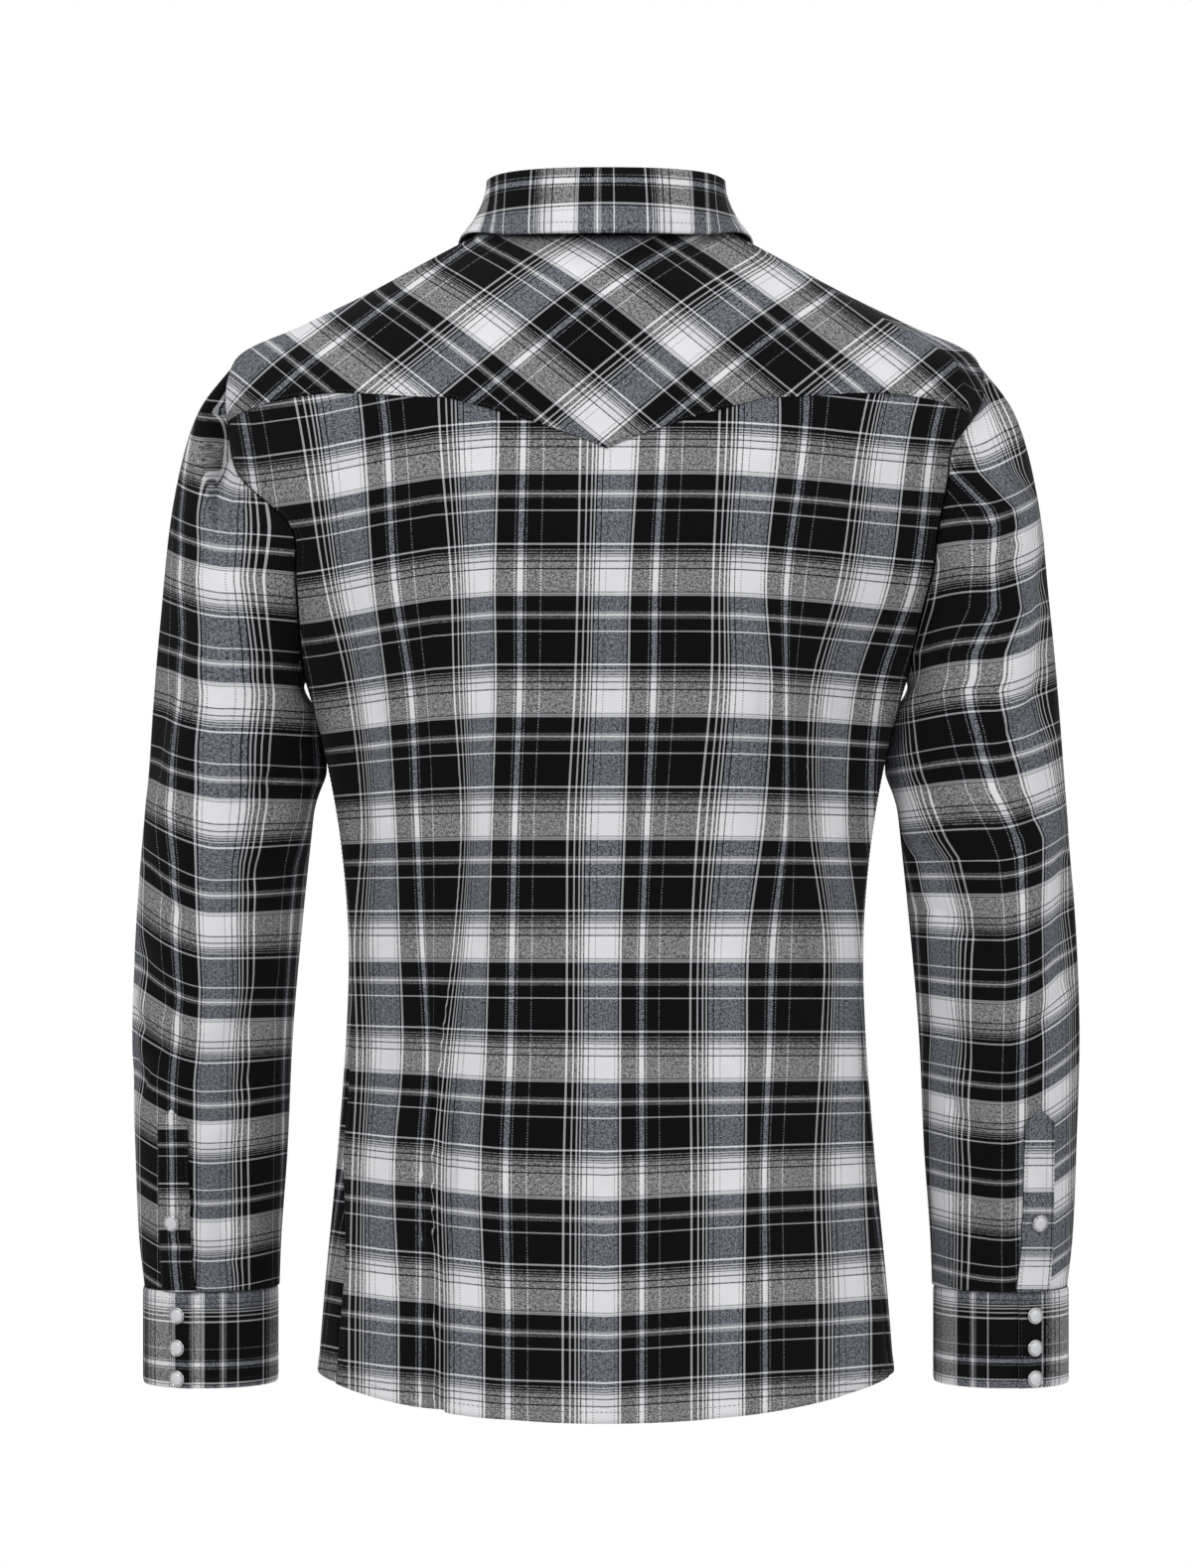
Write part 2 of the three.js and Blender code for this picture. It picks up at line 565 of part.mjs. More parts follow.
function cuffLift(turn) {
  return (DOUBLED + SEAM_GAP) * smooth(turn, WHOLE_TURN - 30, WHOLE_TURN + CUFF_EDGE_TURN - CUFF_OVERLAP_TURN - 4);
}

function cuff() {
  const start = CUFF_EDGE_TURN - CUFF_OVERLAP_TURN;
  const end = WHOLE_TURN + CUFF_EDGE_TURN;
  const rows = [CUFF_TOP_Z - SEAM_GAP, (CUFF_BOTTOM_Z + CUFF_TOP_Z) / 2, CUFF_BOTTOM_Z];
  const face = (rise) => (r, c) => {
    const turn = lerp(start, end, c / CUFF_COLUMNS);
    return cuffPlace(turn, rows[r], cuffLift(turn) + rise);
  };
  return wall(rows.length, CUFF_COLUMNS + 1, face(0), face(DOUBLED));
}

// The pointed strip that finishes the sleeve's opening, laid on the sleeve.
const OPENING_ROWS = 9;
const OPENING_COLUMNS = 4;
const OPENING_CLEARANCE = 1.1;

function openingPlace(folds, aside, rise, height) {
  const down = SLEEVE.at(-1).down - 1.2 - rise;
  const radius = between(SLEEVE, "down", down, "half") + CLOTH;
  const turn = CUFF_SNAP_TURN + THREE.MathUtils.radToDeg(aside / radius);
  return sleeveOffset(folds, turn, down, CLOTH + OPENING_CLEARANCE + height);
}

function sleeveOpening(folds) {
  const face = (height) => (r, c) => {
    const aside = OPENING_WIDTH * (c / OPENING_COLUMNS - 0.5);
    const top = OPENING_HEIGHT - OPENING_POINT * Math.abs(1 - (2 * c) / OPENING_COLUMNS);
    return openingPlace(folds, aside, top * (1 - r / OPENING_ROWS), height);
  };
  return wall(OPENING_ROWS + 1, OPENING_COLUMNS + 1, face(0), face(CLOTH));
}

// Snap: a metal rim holding a domed pearl face.
const SNAP_PROFILE = [
  { radius: 0, rise: 0 },
  { radius: SNAP_RADIUS - 0.3, rise: 0 },
  { radius: SNAP_RADIUS, rise: 0.6 },
  { radius: SNAP_RADIUS - 0.4, rise: 1.4 },
  { radius: 3.4, rise: 2.1 },
  { radius: 0, rise: 2.5 },
];
const SNAP_SIDES = 10;
const snapShape = new THREE.LatheGeometry(
  SNAP_PROFILE.map((point) => new THREE.Vector2(point.radius, point.rise)),
  SNAP_SIDES,
);

function addSnap(name, place, out, parent = shirt) {
  const mesh = add(name, snapShape, pearl, parent);
  mesh.position.copy(place).addScaledVector(out, SEAM_GAP);
  mesh.quaternion.setFromUnitVectors(new THREE.Vector3(0, 1, 0), out);
}

for (let i = 0; i < FRONT_SNAPS; i++) {
  const down = lerp(FIRST_SNAP_DOWN, LAST_SNAP_DOWN, i / (FRONT_SNAPS - 1));
  addSnap(`snap_front_${i + 1}`, bodyOffset(180, down, BAND_BASE + DOUBLED), bodyOut(180, down));
}

// Each arm is built on the left; the right one is its mirror image with folds of its own.
function mirrored(geometry) {
  const flipped = geometry.clone();
  flipped.scale(-1, 1, 1);
  const corners = flipped.getIndex().array;
  for (let i = 0; i < corners.length; i += 3) {
    [corners[i + 1], corners[i + 2]] = [corners[i + 2], corners[i + 1]];
  }
  return flipped;
}

for (const [side, word, folds] of [[1, "left", LEFT_SLEEVE_FOLDS], [-1, "right", RIGHT_SLEEVE_FOLDS]]) {
  const turned = (geometry) => (side > 0 ? geometry : mirrored(geometry));
  const across = (vector) => new THREE.Vector3(side * vector.x, vector.y, vector.z);
  add(`sleeve_${word}`, turned(sleeve(folds)), flannel);
  add(`cuff_${word}`, turned(cuff()), flannel);
  add(`sleeve_opening_${word}`, turned(sleeveOpening(folds)), flannel);
  const snapOut = new THREE.Vector3(Math.cos(radians(CUFF_SNAP_TURN)), Math.sin(radians(CUFF_SNAP_TURN)), 0);
  CUFF_SNAP_DROPS.forEach((drop, i) => {
    const height = CUFF_TOP_Z - drop;
    const rise = cuffLift(WHOLE_TURN + CUFF_SNAP_TURN) + DOUBLED;
    addSnap(`snap_cuff_${word}_${i + 1}`, across(cuffPlace(CUFF_SNAP_TURN, height, rise)), across(snapOut));
  });
  const strip = (aside, rise) => openingPlace(folds, aside, rise, CLOTH);
  const up = strip(0, OPENING_SNAP_RISE + 3).sub(strip(0, OPENING_SNAP_RISE - 3));
  const round = strip(3, OPENING_SNAP_RISE).sub(strip(-3, OPENING_SNAP_RISE));
  const out = round.cross(up).normalize();
  if (out.dot(snapOut) < 0) out.negate();
  const seat = strip(0, OPENING_SNAP_RISE).addScaledVector(out, 0.25);
  addSnap(`snap_sleeve_${word}`, across(seat), across(out));
}

// Collar stand: a band round the neck, its left end lapping over its right at the front.
function ringPlace(line, turn) {
  const sine = Math.sin(radians(turn));
  const cosine = Math.cos(radians(turn));
  const depth = cosine > 0 ? line.back : line.front;
  const radius = 1 / Math.hypot(sine / line.halfWidth, cosine / depth);
  const zMiddle = cosine > 0 ? line.zBack : line.zFront;
  const sideways = Math.abs(radius * sine) / line.halfWidth;
  return new THREE.Vector3(radius * sine, radius * cosine, lerp(zMiddle, line.zSide, sideways ** 2.5));
}

const STAND_COLUMNS = 44;
const STAND_ROWS = 3;
const STAND_FOOT_INSET = DOUBLED + 0.8;
const STAND_FOOT_DROP = 1.2;

// The stand's right end draws in under its left one.
function standShift(turn) {
  return -(DOUBLED + SEAM_GAP + 0.2) * smooth(-turn, 145, 168);
}

function standPlace(turn, share, rise) {
  const out = new THREE.Vector3(Math.sin(radians(turn)), Math.cos(radians(turn)), 0);
  const foot = bodyPlace(turn, 0).addScaledVector(out, -STAND_FOOT_INSET);
  foot.z -= STAND_FOOT_DROP;
  return foot.lerp(ringPlace(FOLD_LINE, turn), share).addScaledVector(out, rise + standShift(turn));
}

function collarStand() {
  const end = 180 + STAND_OVERLAP_TURN;
  const face = (rise) => (r, c) =>
    standPlace(lerp(-end, end, c / STAND_COLUMNS), r / (STAND_ROWS - 1), rise);
  return wall(STAND_ROWS, STAND_COLUMNS + 1, face(0), face(DOUBLED));
}
add("collar_stand", collarStand(), flannel);

const standSnap = standPlace(180, 0.5, DOUBLED);
addSnap("snap_collar", standSnap, new THREE.Vector3(0, -1, -0.1).normalize());

// Collar leaf: rolls over the top of the stand and comes down outside it to its two front points.
const LEAF_COLUMNS = 36;
const LEAF_ROLL = [
  { out: 0.2, up: SEAM_GAP + 0.1 },
  { out: 1.4, up: 2.6 },
  { out: 4.6, up: 1.6 },
];
const LEAF_FALLS = [0.2, 0.45, 0.72, 1];

function leafPlace(share, r, rise) {
  const side = Math.sign(share) || 1;
  const way = Math.abs(share);
  const turn = share * LEAF_START_TURN;
  const out = new THREE.Vector3(Math.sin(radians(turn)), Math.cos(radians(turn)), 0);
  const fold = ringPlace(FOLD_LINE, turn).addScaledVector(out, standShift(turn));
  const roll = LEAF_ROLL[Math.min(r, LEAF_ROLL.length - 1)];
  const place = fold.addScaledVector(out, roll.out).setZ(fold.z + roll.up);
  if (r >= LEAF_ROLL.length) {
    const fall = LEAF_FALLS[r - LEAF_ROLL.length];
    const at = (column) => between(LEAF_EDGE, "share", way, column);
    const edge = new THREE.Vector3(side * at("x"), at("y"), at("z"));
    place.lerp(edge, fall).addScaledVector(out, 4 * fall * (1 - fall) * at("bow"));
  }
  const lean = r < 1 ? 0 : 1;
  return place.addScaledVector(out, rise * (r < 1 ? 1 : 0.92)).setZ(place.z + rise * lean * 0.35);
}

function collarLeaf() {
  const count = LEAF_ROLL.length + LEAF_FALLS.length;
  const face = (rise) => (r, c) =>
    leafPlace((2 * c) / LEAF_COLUMNS - 1, count - 1 - r, rise);
  return wall(count, LEAF_COLUMNS + 1, face(0), face(DOUBLED));
}
add("collar_leaf", collarLeaf(), flannel);

export default shirt;
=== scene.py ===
import math

import bmesh
import bpy
import numpy as np
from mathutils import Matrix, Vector


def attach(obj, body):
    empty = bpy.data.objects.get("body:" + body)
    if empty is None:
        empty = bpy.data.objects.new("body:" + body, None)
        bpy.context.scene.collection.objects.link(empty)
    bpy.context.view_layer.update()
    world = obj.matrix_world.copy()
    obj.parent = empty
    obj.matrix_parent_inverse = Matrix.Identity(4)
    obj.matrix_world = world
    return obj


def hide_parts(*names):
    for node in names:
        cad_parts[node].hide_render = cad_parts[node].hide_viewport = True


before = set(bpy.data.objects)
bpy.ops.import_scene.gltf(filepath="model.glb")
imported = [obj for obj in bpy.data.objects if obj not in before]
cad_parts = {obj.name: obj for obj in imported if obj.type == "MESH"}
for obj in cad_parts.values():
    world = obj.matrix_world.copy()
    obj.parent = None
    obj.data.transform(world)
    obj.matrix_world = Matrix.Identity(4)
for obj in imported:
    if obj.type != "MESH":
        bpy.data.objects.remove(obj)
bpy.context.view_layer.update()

# BACK PANEL
# One panel of brushed cotton twill from the shirt tail up to the pointed yoke, cut on the straight
# grain. Its top edge runs under the yoke, and its sides meet the fronts at the side seams.
# Every shape here is worked out in millimetres and becomes metres when its mesh is made.

CLOTH = 1.5
DOUBLED = 1.8
THREAD_THICK = 1.0


def chart(columns, *rows):
    """A short table with named columns."""
    return dict(zip(columns.split(), np.array(rows, float).T))


def lerp(a, b, share):
    return a + (b - a) * share


def smooth(at, low, high):
    share = np.clip((np.asarray(at, float) - low) / (high - low), 0, 1)
    return share * share * (3 - 2 * share)


def between(table, column, at, place="down"):
    """The value of a column at a place between rows, on a smooth curve through them."""
    x, y = table[place], table[column]
    i = np.clip(np.searchsorted(x, at) - 1, 0, len(x) - 2)
    before, after = np.maximum(i - 1, 0), np.minimum(i + 2, len(x) - 1)
    span = x[i + 1] - x[i]
    slope_start = (y[i + 1] - y[before]) / (x[i + 1] - x[before])
    slope_end = (y[after] - y[i]) / (x[after] - x[i])
    s = (at - x[i]) / span
    bend = s * (1 - s) ** 2 * slope_start - s * s * (1 - s) * slope_end
    return lerp(y[i], y[i + 1], s * s * (3 - 2 * s)) + span * bend


GIRTHS = chart(
    "down half_width back front z_side z_back z_front",
    (0, 73, 59, 61, 9, -1, -67),
    (25, 107, 75, 74, -9, -21, -85),
    (55, 149, 89, 86, -32, -48, -105),
    (85, 192, 97, 96, -53, -77, -124),
    (112, 232, 102, 103, -73, -103, -142),
    (160, 237, 108, 111, -122, -150, -173),
    (210, 223, 110, 116, -185, -200, -208),
    (255, 201, 108, 119, -240, -245, -247),
    (300, 184.5, 104, 120, -290, -290, -290),
    (350, 172.5, 97, 115, -340, -340, -340),
    (400, 165, 91, 110, -390, -390, -390),
    (450, 161.5, 88, 107, -440, -440, -440),
    (510, 163, 88, 105, -500, -500, -500),
    (590, 169, 91, 105, -580, -580, -580),
    (670, 176.5, 95, 107, -660, -660, -660),
    (745, 182.5, 98, 109, -735, -735, -735),
)
BODY_SQUARENESS = 2.35

# Troughs (negative) and ridges from one place to another: the wide ones first, then the creases.
FOLD_COLUMNS = "across down across2 down2 width depth"
BACK_FOLDS = chart(
    FOLD_COLUMNS,
    (82, 330, 106, 790, 15, -7),
    (64, 330, 82, 790, 17, 3),
    (130, 330, 150, 640, 15, -4.5),
    (168, 215, 128, 380, 15, -4.5),
    (-98, 270, -112, 560, 15, -6),
    (-172, 205, -132, 400, 15, -5),
    (-132, 420, -142, 640, 15, -4.5),
    (10, 420, 4, 790, 42, 3),
    (78, 190, 84, 470, 8, -2.6),
    (86, 360, 105, 610, 6, -4.2),
    (103, 480, 110, 850, 6, -7.5),
    (89, 480, 96, 850, 8, 3.2),
    (168, 260, 148, 420, 6, -3.2),
    (158, 360, 156, 560, 6, -2.6),
    (-96, 225, -106, 370, 7, -3.6),
    (-106, 330, -146, 520, 7, -4.4),
    (-122, 300, -160, 470, 8, 2.2),
    (-180, 235, -150, 330, 6, -2.8),
    (-150, 560, -152, 780, 9, -2.2),
    (30, 300, 22, 560, 22, -1.6),
    (-40, 330, -52, 640, 24, -1.8),
    (50, 560, 56, 800, 13, -1.6),
    (-62, 520, -70, 800, 15, -2),
)
FRONT_FOLDS = chart(
    FOLD_COLUMNS,
    (176, 205, 112, 380, 15, -5.5),
    (-176, 205, -118, 370, 15, -5),
    (104, 400, 118, 790, 15, -5),
    (-96, 390, -116, 790, 15, -5.5),
    (70, 90, 86, 300, 20, -3),
    (-68, 90, -84, 320, 20, -3),
    (150, 250, 92, 420, 7, -3),
    (-152, 245, -98, 430, 7, -3.2),
    (-136, 420, -150, 620, 8, -3),
    (140, 430, 150, 640, 8, -2.8),
    (112, 560, 120, 800, 6, -3),
    (-108, 540, -118, 800, 6, -3.2),
    (52, 380, 60, 700, 14, -1.8),
    (-50, 360, -56, 690, 14, -1.8),
)


def fold_shift(folds, across, down):
    """How far the folds move the cloth outwards at a place."""
    shift = np.zeros(np.broadcast(across, down).shape)
    for x, y, x2, y2, width, depth in zip(*(folds[name] for name in FOLD_COLUMNS.split())):
        run_across, run_down = x2 - x, y2 - y
        length = math.hypot(run_across, run_down)
        along = ((across - x) * run_across + (down - y) * run_down) / length**2
        aside = ((across - x) * run_down - (down - y) * run_across) / length
        fade = smooth(along, 0, 0.3) * (1 - smooth(along, 0.8, 1))
        shift += depth * fade * np.exp(-((aside / width) ** 2))
    return shift


def body_place(turn, down):
    """A place on the body: turn is degrees from the middle of the back towards the left arm."""
    turn, down = np.broadcast_arrays(np.asarray(turn, float), np.asarray(down, float))
    sine, cosine = np.sin(np.radians(turn)), np.cos(np.radians(turn))
    behind = cosine > 0
    half_width = between(GIRTHS, "half_width", down)
    depth = np.where(behind, between(GIRTHS, "back", down), between(GIRTHS, "front", down))
    reach = (abs(sine) / half_width) ** BODY_SQUARENESS + (abs(cosine) / depth) ** BODY_SQUARENESS
    radius = reach ** (-1 / BODY_SQUARENESS)
    sideways = abs(radius * sine) / half_width
    across = radius * sine
    shift = np.where(behind, fold_shift(BACK_FOLDS, across, down), fold_shift(FRONT_FOLDS, across, down))
    radius = radius + shift * (1 - smooth(sideways, 0.93, 0.995))
    z_middle = np.where(behind, between(GIRTHS, "z_back", down), between(GIRTHS, "z_front", down))
    z = lerp(z_middle, between(GIRTHS, "z_side", down), sideways**4)
    return np.stack([radius * sine, radius * cosine, z], -1)


def body_out(turn, down):
    along_turn = body_place(turn + 0.5, down) - body_place(turn - 0.5, down)
    along_down = body_place(turn, down + 2) - body_place(turn, np.maximum(down - 2, 0))
    out = np.cross(along_turn, along_down)
    return out / np.linalg.norm(out, axis=-1, keepdims=True)


def body_offset(turn, down, height):
    """A place moved out from the body's own face by a height."""
    turn, down = np.broadcast_arrays(np.asarray(turn, float), np.asarray(down, float))
    return body_place(turn, down) + body_out(turn, down) * np.asarray(height, float)[..., None]


CAMERA_AWAY, CAMERA_HEIGHT = 2600, -341
BACK_PLANE, SLEEVE_PLANE = 99, 59


def on_plane(place, plane):
    """Where a place falls on an upright plane behind the shirt: sideways, and below the neck."""
    scale = (CAMERA_AWAY - plane) / (CAMERA_AWAY - place[..., 1])
    return -place[..., 0] * scale, -(CAMERA_HEIGHT + (place[..., 2] - CAMERA_HEIGHT) * scale)


ARMHOLE_TOP = 112
ARMHOLE_BOTTOM = 286
ARMHOLE_TRIM = 0.5
ARMHOLE_MIDDLE = (ARMHOLE_TOP + ARMHOLE_BOTTOM) / 2
ARMHOLE_REACH = (ARMHOLE_BOTTOM - ARMHOLE_TOP) / 2
ARMHOLE_RADIUS = 215
YOKE_ANGLE, YOKE_BACK_ANGLE = 52, 57
# Round the armhole from its top (0) to the underarm (180), a seam is drawn by how far it is from the
# side. In front it is an ellipse. Behind, its top and underarm are given one by one, the left top along
# the shirt's outline, where the photograph shows no seam.
ARMHOLE_HALF_FRONT = 21
LEFT_TOP = ((0, 0), (15, 2), (26, 3), (40, 3.5), (57, 3.8), (66, 4))
RIGHT_TOP = ((0, 0), (15, 3), (30, 4.5), (45, 6.4))
UNDERARM = ((160, 6), (180, 0))
# The rest was charted on the plane that touches the back: out from the middle, and height.
# The last mark on the right stands for two, on either side of a crease.
LEFT_SEAM = ((225.4, -148), (206, -169.2), (190.3, -186.8), (188.5, -215.9), (186, -250.4))
RIGHT_SEAM = (
    (223.6, -117.1), (210.9, -134.7), (207.3, -157.7), (200.6, -192.2), (199.4, -206.2), (190, -243.4))


def armhole_seam(side, top, marks):
    """The seam behind, found on the body at each charted mark."""
    out, height = np.array(marks, float).T
    near, far = np.full(len(out), 50.0), np.full(len(out), 90.0)
    for _ in range(24):
        turn = (near + far) / 2
        above, below = np.full(len(out), 90.0), np.full(len(out), 300.0)
        for _ in range(24):
            down = (above + below) / 2
            aside, fall = on_plane(body_place(side * turn, down), BACK_PLANE)
            higher = fall < -height
            above, below = np.where(higher, down, above), np.where(higher, below, down)
        inside = abs(aside) < out
        near, far = np.where(inside, turn, near), np.where(inside, far, turn)
    angle = np.degrees(np.arccos((ARMHOLE_MIDDLE - down) / ARMHOLE_REACH))
    return chart("angle half", *top, *zip(angle, 90 - turn), *UNDERARM)


LEFT_ARMHOLE = armhole_seam(1, LEFT_TOP, LEFT_SEAM)
RIGHT_ARMHOLE = armhole_seam(-1, RIGHT_TOP, RIGHT_SEAM)


def armhole_level(angle, trim):
    return ARMHOLE_MIDDLE - (ARMHOLE_REACH + trim) * np.cos(np.radians(angle))


def armhole_turn(angle, seam, trim):
    sine = np.sin(np.radians(angle))
    half = ARMHOLE_HALF_FRONT * sine if seam is None else between(seam, "half", angle, "angle")
    return half + np.degrees(trim / ARMHOLE_RADIUS) * sine


def armhole_half(down, seam, trim):
    level = np.clip((ARMHOLE_MIDDLE - down) / (ARMHOLE_REACH + trim), -1, 1)
    return armhole_turn(np.degrees(np.arccos(level)), seam, trim)


def side_seam_turn(down, side):
    """The side seam swings back below the underarm, and further near the hem on the left."""
    swing = 9 * smooth(down, ARMHOLE_BOTTOM, ARMHOLE_BOTTOM + 260)
    return 90 - swing - np.where(np.asarray(side) > 0, 6 * smooth(down, 570, 655), 0)


YOKE_LEVEL = armhole_level(YOKE_BACK_ANGLE, ARMHOLE_TRIM)
LEFT_CORNER = 90 - armhole_turn(YOKE_BACK_ANGLE, LEFT_ARMHOLE, ARMHOLE_TRIM)
RIGHT_CORNER = 90 - armhole_turn(YOKE_BACK_ANGLE, RIGHT_ARMHOLE, ARMHOLE_TRIM)
YOKE_FRONT_TURN = 90 + armhole_turn(YOKE_ANGLE, None, ARMHOLE_TRIM)
YOKE_END_X, _, YOKE_END_Z = body_place(LEFT_CORNER, YOKE_LEVEL)
YOKE_POINT_Z = -137
YOKE_NOTCH_X, YOKE_NOTCH_Z = 98, -105
YOKE_CREST_X, YOKE_CREST_Z = 168, -101


def yoke_seam_z(x):
    """Height of the yoke's back seam: a point in the middle, then two flat shoulders."""
    out = abs(x)
    share = np.minimum(out / YOKE_NOTCH_X, 1)
    point = lerp(YOKE_POINT_Z, YOKE_NOTCH_Z, share**0.9 * (1.1 - 0.1 * share))
    shoulder = lerp(YOKE_NOTCH_Z, YOKE_CREST_Z, smooth(out, YOKE_NOTCH_X, YOKE_CREST_X))
    share = np.clip((out - YOKE_CREST_X) / (YOKE_END_X - YOKE_CREST_X), 0, 2)
    end = lerp(YOKE_CREST_Z, YOKE_END_Z, share**2)
    return np.where(out < YOKE_NOTCH_X, point, np.where(out < YOKE_CREST_X, shoulder, end))


def level_where(turn, height_at, low, high):
    """The level where the body, at a turn, comes down to a height."""
    above, below = np.full(np.shape(turn), float(low)), np.full(np.shape(turn), float(high))
    for _ in range(24):
        middle = (above + below) / 2
        place = body_place(turn, middle)
        higher = place[..., 2] > height_at(place[..., 0])
        above, below = np.where(higher, middle, above), np.where(higher, below, middle)
    return (above + below) / 2


def yoke_seam_down(turn):
    return level_where(turn, yoke_seam_z, 60, 200)


HEM_BACK_Z, HEM_SIDE_Z, HEM_FRONT_Z = -731, -711, -727
HEM_HALF_WIDTH = 182


def hem_down(turn):
    middle = HEM_BACK_Z if np.cos(np.radians(np.mean(abs(turn)))) > 0 else HEM_FRONT_Z

    def height(x):
        return lerp(middle, HEM_SIDE_Z, np.minimum(abs(x) / HEM_HALF_WIDTH, 1) ** 2.35)

    return level_where(turn, height, 600, 745)


def grid_out(grid, around=False):
    """The direction across a grid of places, for giving it a thickness."""
    if around:
        wide = np.concatenate([grid[:, -1:], grid, grid[:, :1]], axis=1)
        along_columns = wide[:, 2:] - wide[:, :-2]
    else:
        along_columns = np.gradient(grid, axis=1)
    out = np.cross(along_columns, np.gradient(grid, axis=0))
    return out / np.maximum(np.linalg.norm(out, axis=-1, keepdims=True), 1e-9)


def cloth_piece(name, outer, inner, check, materials, around=False):
    """A closed thin shell between two faces, with the cloth's own place at each corner."""
    if not around:
        middle = (outer.shape[0] // 2, outer.shape[1] // 2)
        if np.dot(grid_out(outer)[middle], (outer - inner)[middle]) > 0:
            outer, inner, check = outer[:, ::-1], inner[:, ::-1], check[:, ::-1]
    elif np.sum(grid_out(outer, True) * (outer - inner)) > 0:
        outer, inner, check = outer[:, ::-1], inner[:, ::-1], check[:, ::-1]
        outer, inner = np.roll(outer, 1, axis=1), np.roll(inner, 1, axis=1)
    rows, columns = outer.shape[:2]
    spans = columns if around else columns - 1
    r, c = (a.ravel() for a in np.meshgrid(np.arange(rows - 1), np.arange(spans), indexing="ij"))

    def corner(face, row, column):
        return face * rows * columns + row * columns + column % columns

    def corner_check(row, column):
        return check[row, column]

    quads, places = [], []

    def quad(face, steps):
        quads.append(np.stack([corner(f, a, b) for f, a, b in zip(face, *steps)], -1))
        places.append(np.stack([corner_check(a, b) for a, b in zip(*steps)], 1))

    quad((1, 1, 1, 1), ((r, r + 1, r + 1, r), (c, c, c + 1, c + 1)))
    quad((0, 0, 0, 0), ((r, r, r + 1, r + 1), (c, c + 1, c + 1, c)))
    c = np.arange(spans)
    top, foot = np.zeros_like(c), np.full_like(c, rows - 1)
    quad((0, 1, 1, 0), ((top, top, top, top), (c, c, c + 1, c + 1)))
    quad((1, 0, 0, 1), ((foot, foot, foot, foot), (c, c, c + 1, c + 1)))
    if not around:
        r = np.arange(rows - 1)
        start, end = np.zeros_like(r), np.full_like(r, columns - 1)
        quad((0, 0, 1, 1), ((r, r + 1, r + 1, r), (start, start, start, start)))
        quad((1, 1, 0, 0), ((r, r + 1, r + 1, r), (end, end, end, end)))
    mesh = bpy.data.meshes.new(name)
    points = np.concatenate([inner.reshape(-1, 3), outer.reshape(-1, 3)]) / 1000
    mesh.from_pydata(points.tolist(), [], np.concatenate(quads).tolist())
    layer = mesh.uv_layers.new(name="cloth")
    layer.data.foreach_set("uv", (np.concatenate(places).reshape(-1, 2) / 1000).ravel())
    mesh.shade_smooth()
    piece = bpy.data.objects.new(name, mesh)
    bpy.context.scene.collection.objects.link(piece)
    for material in materials:
        mesh.materials.append(material)
    return piece


def sew(piece, node, stitches=()):
    """Hides the model's part that a piece of cloth stands for, and puts the piece and its stitches on the root
    body.
    """
    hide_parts(node)
    for part in (piece, *stitches):
        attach(part, "root")


def make_thread():
    """Dark spun thread: a faint twist along each stitch and a soft shine."""
    material = bpy.data.materials.new("dark thread")
    material.use_nodes = True
    nodes, links = material.node_tree.nodes, material.node_tree.links
    finish, place = nodes["Principled BSDF"], nodes.new("ShaderNodeTexCoord")
    twist, tint, bump = (
        nodes.new("ShaderNodeTexNoise"), nodes.new("ShaderNodeMix"), nodes.new("ShaderNodeBump"))
    tint.data_type = "RGBA"
    twist.inputs["Scale"].default_value = 2600
    links.new(place.outputs["Object"], twist.inputs["Vector"])
    links.new(twist.outputs["Fac"], tint.inputs[0])
    tint.inputs[6].default_value = (0.006, 0.006, 0.007, 1)
    tint.inputs[7].default_value = (0.045, 0.045, 0.05, 1)
    bump.inputs["Distance"].default_value = 0.0001
    links.new(twist.outputs["Fac"], bump.inputs["Height"])
    links.new(bump.outputs[0], finish.inputs["Normal"])
    links.new(tint.outputs[2], finish.inputs["Base Color"])
    finish.inputs["Roughness"].default_value = 0.55
    return material


thread = make_thread()


